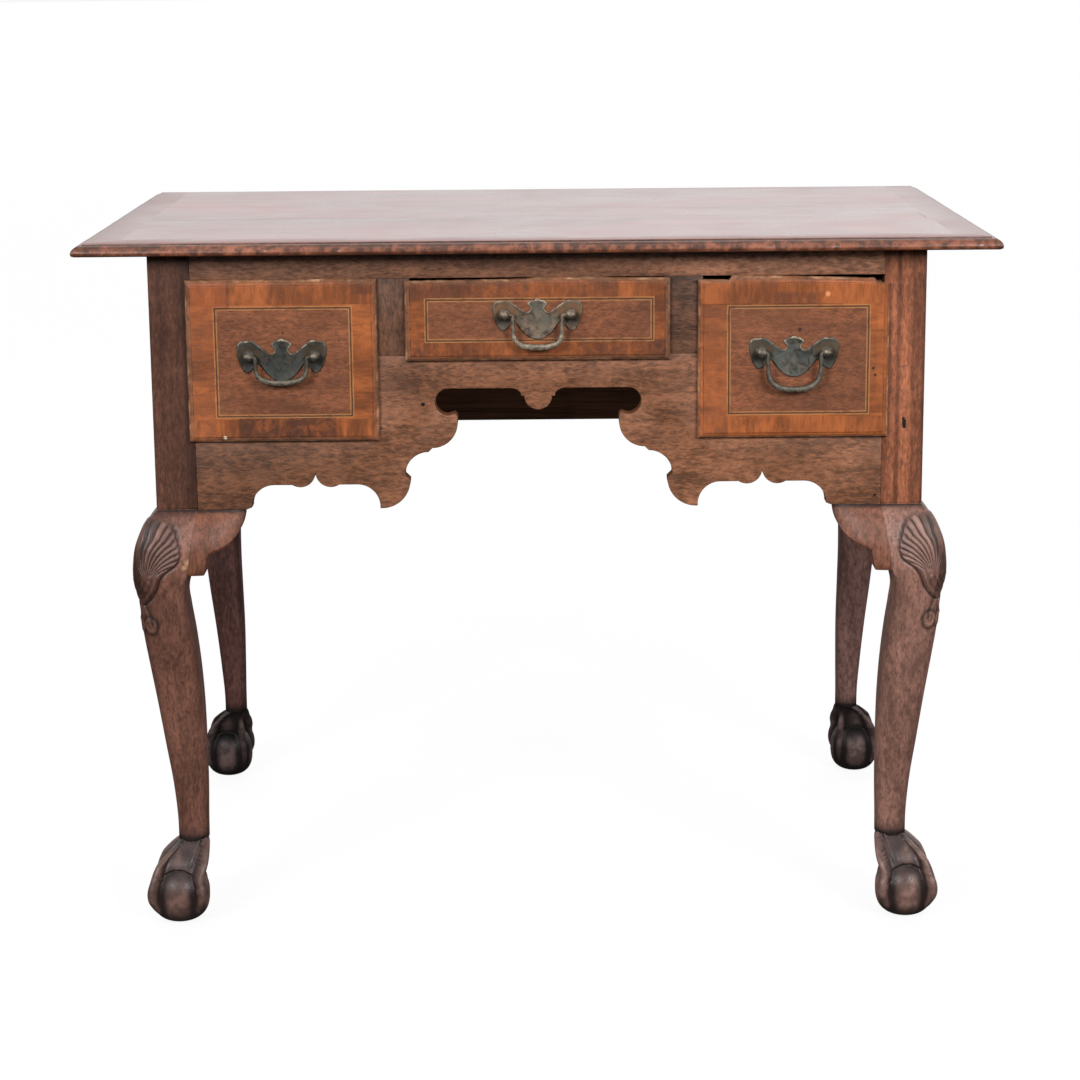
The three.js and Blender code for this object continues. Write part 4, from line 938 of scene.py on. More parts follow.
def leg_sizes(z, shank):
    """The leg's outward and inward reach at each height: post, knee and shank on one smooth curve.

    How round its corners are, as shares of its half width, grows with the square root of the way down.
    """
    knots = [(ANKLE_HEIGHT + t * SHANK_LENGTH, out * POST_SIZE, inner * POST_SIZE) for t, out, inner in shank]
    knots += [
        (KNEE_LINE - t * KNEE_HEIGHT, KNEE_BULGE * share, POST_SIZE - KNEE_TAPER * t) for t, share in KNEE_SHARES
    ]
    out = eased(z, [(k[0], k[1]) for k in knots])
    inner = eased(z, [(k[0], k[2]) for k in knots])
    above = z > KNEE_LINE
    bracket = smooth_step(372, 384, z)
    groove = 0.8 * hump(z - KNEE_LINE - 0.6, 0.7)
    out = np.where(above, 0, out) - groove
    inner = np.where(above, POST_SIZE, inner) - groove
    fall = np.sqrt(np.clip((SHANK_TOP - z) / SHANK_LENGTH, 0, 1))
    grown = np.sqrt(np.clip((KNEE_LINE - z) / KNEE_HEIGHT, 0, 1))
    outer_round = np.where(above, 0.04, (0.08 + 0.47 * grown) + 0.27 * fall)
    inner_round = np.where(above, 0.04, (0.1 + 0.64 * fall) * (1 - bracket) + 0.02)
    return out, inner, outer_round, inner_round


def square_distance(u, v, out, inner, outer_round, inner_round):
    """Distance from a square with rounded corners, one of them rounder than the rest.

    It is the length of what lies beyond the square drawn in by the corner's radius, less that radius.
    """
    half = (out + inner) / 2
    middle = (out - inner) / 2
    pu, pv = u - middle, v - middle
    radius = half * np.where((pu > 0) & (pv > 0), outer_round, inner_round)
    qu, qv = np.abs(pu) - half + radius, np.abs(pv) - half + radius
    return np.minimum(np.maximum(qu, qv), 0) + np.hypot(np.maximum(qu, 0), np.maximum(qv, 0)) - radius


def lowboy_leg(shank, setback, scale, carving, columns, slim):
    """A leg as rays thrown out from its middle line: each ray stops where the nearest form is met.

    The forms are the rounded square of the leg, the ball, the web over it and four claws, blended where
    they meet. On a front knee the shell and the scroll are then raised and cut along the same rays.
    """
    z = np.concatenate([
        np.array([0, 0.15, 0.5, 1, 1.6, 2.3, 3.1]), np.arange(4, FOOT_TOP + 3, 0.8),
        np.arange(FOOT_TOP + 4, 300, 4.5), np.arange(300, 345, 2.0 if carving else 4.5),
        np.arange(345, KNEE_LINE - 1, 0.8 if carving else 3.0),
        [KNEE_LINE - 0.8, KNEE_LINE - 0.2, KNEE_LINE + 0.4, KNEE_LINE + 0.9, KNEE_LINE + 1.6, KNEE_LINE + 3],
        np.arange(KNEE_LINE + 12, TOP_UNDERSIDE - 4, 24.0), [TOP_UNDERSIDE],
    ])
    turn = np.linspace(0, 2 * math.pi, columns, endpoint=False)
    theta = turn - 0.3 * np.sin(turn) + math.pi / 4
    z2 = z[:, None]
    out, inner, outer_round, inner_round = (a[:, None] for a in leg_sizes(z, shank))
    claw_span, web_span = np.clip(z2, 0, FOOT_TOP), np.clip(z2, WEB_FOOT, WEB_TOP)
    web_out, web_in = eased(web_span, WEB_OUT) * scale, eased(web_span, WEB_IN) * scale
    claw_out, claw_in = eased(claw_span, CLAW_OUT) * scale, -eased(claw_span, CLAW_IN) * scale
    claw_in = claw_in * (1 - slim * smooth_step(54, 74, z2))
    thick = eased(claw_span, CLAW_THICK) * scale
    in_foot = z2 < FOOT_TOP
    blend = smooth_step(80, FOOT_TOP, z2)
    leg_middle = (out - inner) / 2
    foot_middle = np.where(z2 < WEB_FOOT, 0, (web_out - web_in) / 2) - setback
    middle = foot_middle * (1 - blend) + leg_middle * blend
    step_u, step_v = np.cos(theta)[None], np.sin(theta)[None]

    def forms(u, v):
        """Distances from each form, in the leg's section at each height."""
        shank_form = square_distance(u, v, out, inner, outer_round, inner_round)
        fu, fv = u + setback, v + setback
        web_middle, web_half = (web_out - web_in) / 2, (web_out + web_in) / 2
        wu, wv = fu - web_middle, fv - web_middle
        q = np.clip(np.minimum(np.abs(wu), np.abs(wv)) / np.maximum(web_half, 1), 0, 1)
        ankle = ANKLE_HEIGHT + 4.0 * q**2
        shank_form = np.where(z2 < ankle, FAR_OFF, shank_form)
        web = square_distance(fu, fv, web_out, web_in, 0.5, 0.5) + 0.9 * (1 - q**2)
        rim = 58.3 - 8.5 * q**2
        web = np.where((z2 < rim) | (z2 > WEB_TOP), FAR_OFF, web)
        power = np.where(z2 < BALL_MIDDLE, BALL_SQUARE, 2.0)
        rest = np.clip(1 - (np.abs(z2 - BALL_MIDDLE) / BALL_HALF) ** power, 0, 1)
        ball_span = BALL_RADIUS * scale * rest ** (1 / power)
        ball = np.where(ball_span > 0, np.hypot(fu, fv) - ball_span, FAR_OFF)
        tucked = claw_in + CLAW_TUCK * smooth_step(94, 82, z2) * smooth_step(4, 30, z2)
        claws = [
            np.where((z2 > FOOT_TOP) | (z2 < 3), FAR_OFF, np.hypot(fu - a, fv - b) - thick)
            for a, b in ((claw_out, claw_out), (claw_out, claw_in), (claw_in, claw_out), (tucked, tucked))
        ]
        return shank_form, web, ball, claws

    reach = np.full((len(z), columns), RAY_START)
    for _ in range(80):
        shank_form, web, ball, claws = forms(middle + reach * step_u, middle + reach * step_v)
        gap = soft_least([shank_form, web, ball, *claws], 1.3)
        reach = np.maximum(reach - 0.85 * gap, 0.3)
    soft = softened_loop(softened(reach, 1).T, 1).T
    reach = np.where((z2 > 4) & (z2 < 80), soft, reach)
    u, v = middle + reach * step_u, middle + reach * step_v
    shank_form, web, ball, claws = forms(u, v)
    nearest = np.sort(np.stack([shank_form, web, ball, *claws]), 0)
    # Painted shade with a little grime: in the creases where the forms meet, under the web's rim, on the ball's
    # sides, at the foot of the shank and in the line under the knee line.
    crease = np.exp(-np.maximum(nearest[1] - nearest[0], 0) / 2.0) * in_foot
    fu, fv = np.abs(u + setback), np.abs(v + setback)
    off_face = np.minimum(fu, fv) / np.maximum(np.maximum(fu, fv), 1)
    rim_line = hump(z2 - 57.6 + 8.5 * off_face**2, 1.3) * (nearest[0] == ball)
    claw_near = np.exp(-np.maximum(np.min(np.stack(claws), 0), 0) / 1.2) * in_foot
    foot = smooth_step(104, 82, z2) * np.ones_like(reach)
    worn_face = np.exp(-(np.abs(z2 - 29) / 17) ** 4 - (off_face / 0.42) ** 4)
    ball_front = worn_face * (nearest[0] == ball) * in_foot
    web_front = np.exp(-((z2 - 68) / 9) ** 2 - (off_face / 0.4) ** 2) * (nearest[0] == web)
    ball_side = smooth_step(0.36, 0.62, off_face) * (nearest[0] == ball) * smooth_step(58, 44, z2)
    shade_and_dirt = np.maximum.reduce([0.95 * crease, 0.9 * rim_line, 0.7 * ball_side])
    shade_and_dirt = shade_and_dirt + 0.75 * hump(z2 - 87, 3.5) * smooth_step(3, 0, shank_form)
    shade_and_dirt = np.maximum(shade_and_dirt, 0.85 * hump(z2 - KNEE_LINE + 0.6, 1.1))
    # Pale wear on the ball and the web, and painted highlights on the claws.
    wear_and_highlight = 0.55 * claw_near * (1 - crease) + 0.75 * ball_front + 0.45 * web_front

    if carving is not None:
        along = np.hypot(np.diff(u, axis=1, append=u[:, :1]), np.diff(v, axis=1, append=v[:, :1]))
        travel = np.concatenate([np.zeros((len(z), 1)), np.cumsum(along, 1)[:, :-1]], 1)
        girth = along.sum(1, keepdims=True)
        in_from_corner = np.minimum(travel, girth - travel)
        carved = (z > 300) & (z < KNEE_LINE)
        raised, darkening, shine = (np.zeros_like(reach) for _ in range(3))
        raised[carved], darkening[carved], shine[carved] = knee_carving(in_from_corner[carved], z2[carved], carving)
        outer = smooth_step(80, 60, in_from_corner)
        u, v = u + raised * outer * step_u, v + raised * outer * step_v
        # The carving adds painted shade with some grime in its cuts, and painted highlights on its ribs.
        shade_and_dirt = np.maximum(shade_and_dirt, darkening * outer)
        wear_and_highlight = np.maximum(wear_and_highlight, shine * outer)
    rings = np.stack([u, v, np.broadcast_to(z2, u.shape)], -1)
    return rings, {"shade_and_dirt": shade_and_dirt, "wear_and_highlight": wear_and_highlight, "foot": foot}


def rib_share(s, z):
    """Which rib a place is on, nought at the crest and one at the last rib.

    It is the angle from upright around the shell's heart over the fan's angle. Near the heart the bend is
    added by degrees, so that each rib leaves it steeply and turns outwards.
    """
    across, up = s - SHELL_HEART[0], z - SHELL_HEART[1]
    near = 1 - np.clip(np.hypot(across, up) / BEND_REACH, 0, 1)
    return (np.degrees(np.arctan2(across, up)) + BEND * near) / FAN


def knee_carving(s, z, carving):
    """The shell: rounded ribs on a raised bed that drops into a dark line outside a scalloped rim.

    A smooth ridge runs down the leg's corner. Beside it is a dark valley with fainter ribs across it, and
    then the broad crest and the other ribs, each a sine's hump over the rib's share of the fan. Below the
    shell are a leaf with streaks along its edge, a thin stem and a scroll. Places are distances in from
    the corner and heights, and the three results are height, darkening and shine. The darkening is painted
    shade with some grime in the cuts, the moat, the valley and beside the corner, and the shine is painted
    highlight with some wear on the ribs, the crest, the reeds, the beads, the stem and the scroll.
    """
    edge = eased(np.clip(z, 345, 444), SHELL_RIM)
    ahead = eased(np.clip(z + 1, 345, 444), SHELL_RIM) - edge
    inside = (edge - s) / np.sqrt(1 + ahead**2)
    inside = np.where((z > SHELL_TOP) | (z < SHELL_FOOT), -8, inside)
    share = rib_share(s, z)
    ribbed = smooth_step(-0.32, -0.28, share) * smooth_step(1.12, 1.02, share) * smooth_step(2.5, 4.5, s)
    saw = np.abs(np.sin(math.pi * share * carving["ribs"]))
    inside = inside + 1.1 * (saw - 0.6) * ribbed * smooth_step(386, 392, z)
    within = smooth_step(0.0, 1.5, inside)
    out_of_heart = smooth_step(3, 10, np.hypot(s - SHELL_HEART[0], z - SHELL_HEART[1]))
    fade = ribbed * within * out_of_heart
    upper = smooth_step(386, 402, z)
    valley = (1 - smooth_step(-0.03, 0.01, share)) * smooth_step(3, 7, s) * within * upper
    valley = valley * smooth_step(439, 427, z)
    corner = hump(s, 2.4) * within * smooth_step(388, 412, z)
    bed = carving["relief"] * smooth_step(-0.8, 1.2, inside) * smooth_step(348, 366, z)
    bed = bed * (1 - 0.75 * smooth_step(9, 1, s) * smooth_step(418, 392, z))
    moat = -1.1 * hump(inside + 1.7, 1.3) * smooth_step(438, 424, z)
    leaf = smooth_step(0, 1, inside) * smooth_step(1.02, 1.2, np.abs(share)) * smooth_step(392, 386, z)
    reed = np.cos(2 * math.pi * (inside - 2.6) / 5.6) * leaf * smooth_step(350, 358, z)
    ribs = -carving["rib_depth"] * (1 - saw**0.6) * fade - 0.7 * valley + 0.5 * corner

    # Painted shade with some grime: in the cuts between the ribs, in the moat, at the top of the knee, in the valley
    # and beside the corner.
    darkening = 0.95 * (1 - smooth_step(0.08, 0.6, saw)) * fade + 0.85 * hump(inside + 1.3, 1.6)
    darkening = darkening + 0.25 * hump(inside + 5, 4) * smooth_step(405, 425, z)
    darkening = darkening * smooth_step(438, 426, z) + 0.3 * smooth_step(424, 438, z) * smooth_step(30, 16, s)
    darkening = darkening + 0.35 * valley + 0.3 * smooth_step(0, 1, inside) + 0.1 * leaf * (1 - reed)
    beside = 0.35 * smooth_step(9, 3, s) * smooth_step(350, 362, z) * smooth_step(436, 428, z)
    darkening = darkening + beside * (1 - corner)
    # Painted highlights with some wear: on the ribs' tops, the crest, the reeds and the corner.
    crest_at = 0.5 / carving["ribs"]
    crest = hump(share - crest_at, 0.34 * crest_at * 2) * fade * smooth_step(388, 402, z)
    reeds = 0.45 * smooth_step(0.4, 1, reed) * (inside < 5)
    shine = np.maximum.reduce([smooth_step(0.62, 0.96, saw) * fade, crest, reeds, 0.6 * corner])
    darkening = darkening * (1 - 0.75 * crest)

    scroll = np.hypot(s - SCROLL[0], (z - SCROLL[1]) * 0.8)
    curl = 1.2 * hump(scroll - 5.2, 1.5) + 0.9 * hump(scroll, 1.7)
    stem_path = 6.5 - 4.5 * smooth_step(332, 350, z)
    stem = hump(s - stem_path, 1.5) * smooth_step(322, 330, z) * smooth_step(352, 344, z)
    bead = sum(np.exp(-((s - at) / 1.6) ** 2 - ((z - up) / 2.2) ** 2) for at, up in HEART_BEADS)
    height = bed + ribs + moat + 0.9 * curl + 0.8 * stem + 0.7 * bead + 0.35 * reed
    # Painted shade around the scroll and beside the stem, and painted highlights on the beads, the scroll and the
    # stem.
    darkening = darkening + 0.75 * hump(scroll - 8.0, 1.6)
    darkening = darkening + 0.6 * hump(s - stem_path - 3.2, 1.6) * (z > SCROLL[1]) * (z < 350)
    shine = np.maximum.reduce([shine, 0.8 * bead, 0.5 * smooth_step(0.5, 1.0, curl), 0.4 * stem])
    return height, np.clip(darkening, 0, 0.92), np.clip(shine, 0, 1)


def place_leg(rings, side, end):
    """A leg turned from corner coordinates to its corner of the case."""
    u, v, z = rings[..., 0], rings[..., 1], rings[..., 2]
    x = side * (CASE_SIDE + u)
    y = CASE_FRONT - v if end == "front" else CASE_BACK + v
    return np.stack([x, y, z], -1)


# What differs between the front and the rear legs: shank, how far the foot's middle stands in from the
# corner, the foot's scale, points around, and how much the claws are drawn in on their inward side.
LEGS = {
    "front": {"shank": FRONT_SHANK, "setback": 8, "scale": 1.0, "columns": 320, "slim": 0},
    "rear": {"shank": REAR_SHANK, "setback": 2, "scale": 0.94, "columns": 192, "slim": 0.2},
}


# The knee brackets, in distances in from the post, back from the case and down from the knee line.

BRACKET_REACH = 47.5
BRACKET_DEPTH = 22.0
BRACKET_TAIL = [(-10.35, 64), (6.4, 64), (7.2, 63), (8, 58), (9.2, 51), (10.6, 45.5)]
# For each bracket: the order of its axes, which of them are turned over, and where its corner stands.
BRACKETS = {
    "front_left": ([0, 1, 2], [1, 1, 1], [-POST_INNER, CASE_FRONT, KNEE_LINE]),
    "front_right": ([0, 1, 2], [-1, 1, 1], [POST_INNER, CASE_FRONT, KNEE_LINE]),
    "side_front_right": ([1, 0, 2], [-1, 1, 1], [CASE_SIDE, FRONT_POST_REAR, KNEE_LINE]),
    "side_front_left": ([1, 0, 2], [1, 1, 1], [-CASE_SIDE, FRONT_POST_REAR, KNEE_LINE]),
    "side_rear_right": ([1, 0, 2], [-1, -1, 1], [CASE_SIDE, REAR_POST_FRONT, KNEE_LINE]),
    "side_rear_left": ([1, 0, 2], [1, -1, 1], [-CASE_SIDE, REAR_POST_FRONT, KNEE_LINE]),
}


def knee_bulge(drop):
    """How far the knee stands out at a depth under the knee line."""
    return KNEE_BULGE * eased(np.clip(drop / KNEE_HEIGHT, 0, 1), KNEE_SHARES)


def bracket_lower():
    """The bracket's lower edge: a square tail by the leg, a steep cove and a round lobe outwards."""
    lobe = arc((10, 0), (BRACKET_REACH - 10, 42), 0.955, 0, 40)
    return np.vstack([evenly(np.array(BRACKET_TAIL), 24), lobe[1:]])


def bracket_rings():
    """A bracket's rings of points, its face rising to the knee's.

    Lines run from the top edge to the lower edge. The face stands out by the knee's bulge times the
    cosine of a quarter turn over the way from the leg to the bracket's reach.
    """
    low = bracket_lower()
    high = np.interp(low[:, 0], (-10.35, 6.4, 12.2, BRACKET_REACH), (0, 8, 15, BRACKET_REACH))
    t = np.linspace(0, 1, 33)
    across = high[:, None] + (low[:, :1] - high[:, None]) * t
    drop = low[:, 1:] * t
    glue = -KNEE_TAPER * drop / KNEE_HEIGHT
    near = np.clip((across - glue) / (BRACKET_REACH - glue), 0, 1)
    face = -knee_bulge(drop) * np.cos(QUARTER * near) ** 0.8
    face = face + 1.8 * smooth_step(0.94, 1.0, t) * smooth_step(1, 5, drop)
    front = np.stack([across, face, -drop], -1)
    back = np.stack([across, np.full_like(across, BRACKET_DEPTH), -drop], -1)
    return np.concatenate([front, back[:, ::-1]], 1)


def bracket_piece(name, finish):
    """A knee bracket, turned and moved to its place, with a dark line of painted shade under the knee line."""
    order, turned, corner = BRACKETS[name]
    points, faces = closed_rings(bracket_rings())
    plain = np.zeros(len(points))
    marks = {"shade_and_dirt": 0.9 * smooth_step(-4.2, -1.2, points[:, 2]), "wear_and_highlight": plain, "foot": plain}
    points = points[:, order] * turned + corner
    put_piece(f"knee_bracket_{name}", points, faces, "case", [f"bracket_{name}"], finish, marks=marks, facet=35)


# The drawers: the lipped edge, the part behind the lip, the corners of the lines around the field, the
# middle of the handle, how wide the dull lip looks left, right, below and above, and the plate's crown.

DRAWERS = {
    "left": {"x": (-353, -161), "z": (514, 678.6), "body_x": (-347.2, -166.8), "body_z": (519.3, 670.5),
             "line": ((-323, 540.9), (-187.4, 650.7)), "handle": (-257, 602.5), "lip": (5.6, 3.4, 5, 2.8),
             "crown": 17.7},
    "center": {"x": (-133, 133), "z": (595, 678), "body_x": (-127.2, 127.2), "body_z": (600.3, 670.5),
               "line": ((-111.4, 616.2), (115.1, 657.4)), "handle": (0, 643), "lip": (4, 4, 4.6, 2.8), "crown": 15.4},
    "right": {"x": (161, 353), "z": (514, 677), "body_x": (166.8, 347.2), "body_z": (519.3, 670.5),
              "line": ((191.7, 539.8), (331.6, 647.9)), "handle": (257, 602.5), "lip": (2.4, 2.0, 2.8, 3),
              "crown": 16.0},
}
# The worn upper edges, as (place across, height).
TOP_EDGES = {
    "left": [(-353, 678.4), (-300, 678.9), (-250, 678.7), (-200, 679), (-161, 678.6)],
    "center": [(-133, 676.4), (-90, 676.6), (-54, 677.0), (-12, 677.4), (0, 678.9), (60, 678.9), (75, 677.9),
               (133, 677.7)],
    "right": [(161, 675.1), (192.2, 674.9), (192.9, 679.0), (230, 678.6), (290, 677.0), (339.0, 675.3),
              (339.7, 671.3), (353, 670.4)],
}
# The right drawer's lip is broken away outside two places across, within some distance of its upper edge.
BREAK_LEFT, BREAK_RIGHT = 192.9, 339.0
# Width of the moulded edge, how high its thumb rises over the lip, and where the quirk beside it lies.
EDGE_WIDTH = 5.4
EDGE_RISE = 5.2
EDGE_QUIRK = 5.55

# Colours on the drawer fronts, as seen on a screen: stained and bright bands, and plugged holes.
STAIN, BRIGHT, HOLE = (70, 42, 32), (150, 78, 46), (58, 30, 24)
# Patches of the bands as (left, low, right, high, colour, strength), small round marks as (x, z, radius,
# colour), and whether the bands meet in mitres.
DRAWER_LOOKS = {
    "left": {
        "patches": [
            (-346, 516, -325, 651, (120, 72, 50), 0.45), (-302, 512, -204, 541, STAIN, 0.85),
            (-353, 651, -309, 680, BRIGHT, 0.6), (-310.2, 651, -308.4, 680, STAIN, 1.0),
            (-187, 664, -161, 680, STAIN, 0.45),
        ],
        "marks": [
            (-255.3, 625.6, 1.6, HOLE), (-199.3, 617.8, 1.4, HOLE), (-316.4, 519.3, 2.4, (236, 214, 188)),
        ],
        "mitred": False,
    },
    "center": {
        "patches": [
            (-133, 594, -60, 617, STAIN, 0.55), (-60, 594, 40, 617, STAIN, 0.2), (40, 594, 133, 617, STAIN, 0.65),
            (-128, 657, -8, 680, STAIN, 0.6), (-8, 657, 30, 680, STAIN, 0.25), (30, 657, 80, 680, STAIN, 0.6),
            (-133, 594, -112, 680, STAIN, 0.3), (116, 594, 133, 655, STAIN, 0.4),
        ],
        "marks": [],
        "mitred": True,
    },
    "right": {
        "patches": [
            (165, 516, 191, 648, (122, 72, 48), 0.55), (236, 648, 280, 662, STAIN, 0.5),
            (332, 560, 340, 640, STAIN, 0.3), (345, 590, 353, 660, (176, 96, 52), 0.6),
        ],
        "marks": [
            (262.7, 624.7, 2.8, HOLE), (290.5, 660.5, 3.4, (228, 150, 98)), (337, 585, 2.2, HOLE),
            (339, 578, 2.0, HOLE),
        ],
        "mitred": False,
    },
}


def front_steps(low, high):
    """Places across a drawer front: close together in the moulded edge, wider in the field."""
    edge = np.array([0, 0.4, 0.9, 1.5, 2.2, 3, 3.8, 4.6, 5.2, 5.6, 6.0, 7.0, 9.0])
    count = int((high - low - 20) / 2.6)
    return np.concatenate([low + edge, np.linspace(low + 10, high - 10, count), (high - edge)[::-1]])


def drawer_front(side, finish):
    """A lipped front: height over the lip's back as a rounded thumb of the distance from the edge.

    The edge is worn by chance heights along it, and the upper edge follows its own line, broken where the
    lip has come away.
    """
    data = DRAWERS[side]
    xs, zs = front_steps(*data["x"]), front_steps(*data["z"])
    x, z = np.meshgrid(xs, zs, indexing="ij")
    edges = [x - data["x"][0], data["x"][1] - x, z - data["z"][0], data["z"][1] - z]
    span = np.minimum.reduce(edges)
    seed = SIDES.index(side) * 10
    wear = 0.5 * waver(x + z * 1.7, 7, seed + 1) + 0.5 * waver(x - z * 1.3, 23, seed + 2)
    thumb = np.sqrt(np.clip(1 - ((EDGE_WIDTH - np.minimum(span, EDGE_WIDTH)) / EDGE_WIDTH) ** 2, 0, 1))
    rise = 2 + EDGE_RISE * thumb + 0.8 * smooth_step(5.3, 5.7, span)
    rise = rise - 0.25 * np.maximum(wear, 0) * smooth_step(7, 2, span)
    top = np.interp(x, *np.array(TOP_EDGES[side]).T) + 0.22 * waver(x, 5, seed + 3)
    pull = smooth_step(9, 0, data["z"][1] - z)
    if side == "right":
        broken = smooth_step(BREAK_LEFT, 192.2, x) + smooth_step(BREAK_RIGHT, 339.7, x)
        broken = broken * smooth_step(3.0, 0.5, data["z"][1] - z)
        rise = rise * (1 - broken) + (6.6 + 0.5 * waver(x, 2.5, 77)) * broken
    z = z + (top - data["z"][1]) * pull
    nick = 0.35 * waver(z + 400, 6, seed + 4) * smooth_step(1.5, 0, np.minimum(edges[0], edges[1]))
    x = x + nick * np.sign(x - (data["x"][0] + data["x"][1]) / 2)
    face = np.stack([x, LIP_BACK - rise, z], -1)
    rows, columns = x.shape
    points = face.reshape(-1, 3)
    number = np.arange(rows * columns).reshape(rows, columns)
    quads = np.stack([number[:-1, :-1], number[1:, :-1], number[1:, 1:], number[:-1, 1:]], -1).reshape(-1, 4)
    loop = np.concatenate([number[:-1, 0], number[-1, :-1], number[:0:-1, -1], number[0, :0:-1]])
    rim = points[loop]
    body_low, body_high = np.array(data["body_x"]), np.array(data["body_z"])
    share_x = (rim[:, 0] - data["x"][0]) / (data["x"][1] - data["x"][0])
    share_z = np.clip((rim[:, 2] - data["z"][0]) / (data["z"][1] - data["z"][0]), 0, 1)
    body = np.stack([body_low[0] + share_x * (body_low[1] - body_low[0]), np.full(len(rim), LIP_BACK),
                     body_high[0] + share_z * (body_high[1] - body_high[0])], -1)
    if side == "right":
        body[:, 2] = np.minimum(body[:, 2], rim[:, 2] - 0.5)
    lip_back, behind = rim.copy(), body.copy()
    lip_back[:, 1] = LIP_BACK
    behind[:, 1] = DRAWER_FRONT_REAR
    count = len(loop)
    points = np.vstack([points, lip_back, body, behind, behind.mean(0)])
    base = rows * columns
    around, after = np.arange(count), (np.arange(count) + 1) % count
    faces = quads.tolist()
    faces += np.stack([loop[around], base + around, base + after, loop[after]], -1).tolist()
    faces += ring_faces(3, count, base)
    rear = base + 2 * count
    faces += np.stack([rear + around, np.full(count, len(points) - 1), rear + after], -1).tolist()
    span_all, wear_all = span.ravel(), wear.ravel()
    # Pale wear with painted highlights along the lip's outer edges, broken by chance.
    edge_wear_and_highlight = smooth_step(2.6, 1.0, span_all) * (0.25 + 0.75 * smooth_step(-0.1, 0.5, wear_all))
    lip = np.maximum.reduce([
        smooth_step(width + 0.8, width - 0.5, edge.ravel()) for width, edge in zip(data["lip"], edges)
    ])
    lip = np.concatenate([lip, np.ones(len(points) - base)])
    wear_and_highlight = np.concatenate([edge_wear_and_highlight, np.zeros(len(points) - base)])
    wear_and_highlight[base:base + count] = 0.45
    # Painted shade with some grime in the quirk beside the thumb.
    shade_and_dirt = 0.45 * hump(span_all - EDGE_QUIRK, 0.35) * smooth_step(-0.3, 0.5, wear_all)
    shade_and_dirt = np.concatenate([shade_and_dirt, np.zeros(len(points) - base)])
    return put_piece(f"{side}_front", points, faces, f"{side}_drawer", [f"{side}_drawer_front"], finish,
                     marks={"wear_and_highlight": wear_and_highlight, "shade_and_dirt": shade_and_dirt, "lip": lip}, facet=50)


# The handles.

# How bright each handle's brass is, and the brown spots on a plate's wings: places across and up from the
# handle's middle, and radii.
BRASS_SHINE = {"left": (0.8, 0.8, 0.8), "center": (2.5, 1.95, 1.65), "right": (1.3, 1.3, 1.3)}
WING_SPOTS = ((-35, 2, 13), (35, 2, 13), (-25, 2, 7), (25, 2, 7))
# A post's middle stands beside the plate's by an offset. The plate's half outline is in shares of its half
# width, its crown and its belly.
POST_OFFSET = 33
PLATE_HALF = 46
PLATE_BELLY = 26
PLATE_UPPER = [
    (0, 1), (0.04, 0.97), (0.075, 0.88), (0.12, 0.93), (0.16, 0.86), (0.17, 0.78), (0.215, 0.76), (0.235, 0.66),
    (0.2, 0.54), (0.155, 0.42), (0.15, 0.3), (0.175, 0.17), (0.24, 0.1), (0.29, 0.16), (0.33, 0.29), (0.375, 0.32),
    (0.42, 0.44), (0.455, 0.58), (0.51, 0.62), (0.55, 0.74), (0.6, 0.84), (0.67, 0.9), (0.73, 0.9), (0.78, 0.84),
    (0.83, 0.88), (0.89, 0.86), (0.94, 0.77), (0.975, 0.6), (0.985, 0.42), (0.98, 0.2),
]
PLATE_LOWER = [
    (0.97, 0.0), (0.95, 0.16), (0.92, 0.3), (0.9, 0.42), (0.86, 0.52), (0.84, 0.6), (0.79, 0.66), (0.74, 0.67),
    (0.68, 0.62), (0.63, 0.52), (0.58, 0.41), (0.53, 0.32), (0.49, 0.29), (0.46, 0.35), (0.45, 0.44), (0.41, 0.47),
    (0.395, 0.57), (0.36, 0.6), (0.34, 0.7), (0.295, 0.73), (0.27, 0.82), (0.22, 0.85), (0.18, 0.93),
    (0.13, 0.94), (0.09, 0.99), (0.04, 0.98), (0, 1),
]
# The plate's section: inset from the outline, rise over the lip's face, and how much pale wear and painted highlight
# it has there.
PLATE_STEPS = (
    (0, 0, 0), (0, 0.5, 0.4), (0.3, 1.05, 0.9), (0.7, 1.5, 1.0), (1.2, 1.6, 0.5), (1.8, 1.5, 0.1), (2.4, 1.35, 0),
)


def plate_outline(crown):
    """The batwing plate's outline in millimetres around the handle's middle."""
    upper = np.array(PLATE_UPPER) * [PLATE_HALF, crown]
    lower = np.array(PLATE_LOWER) * [PLATE_HALF, -PLATE_BELLY]
    half = softened(evenly(np.vstack([upper, lower]), 220), 2)
    return np.vstack([half, (half[1:-1] * [-1, 1])[::-1]])


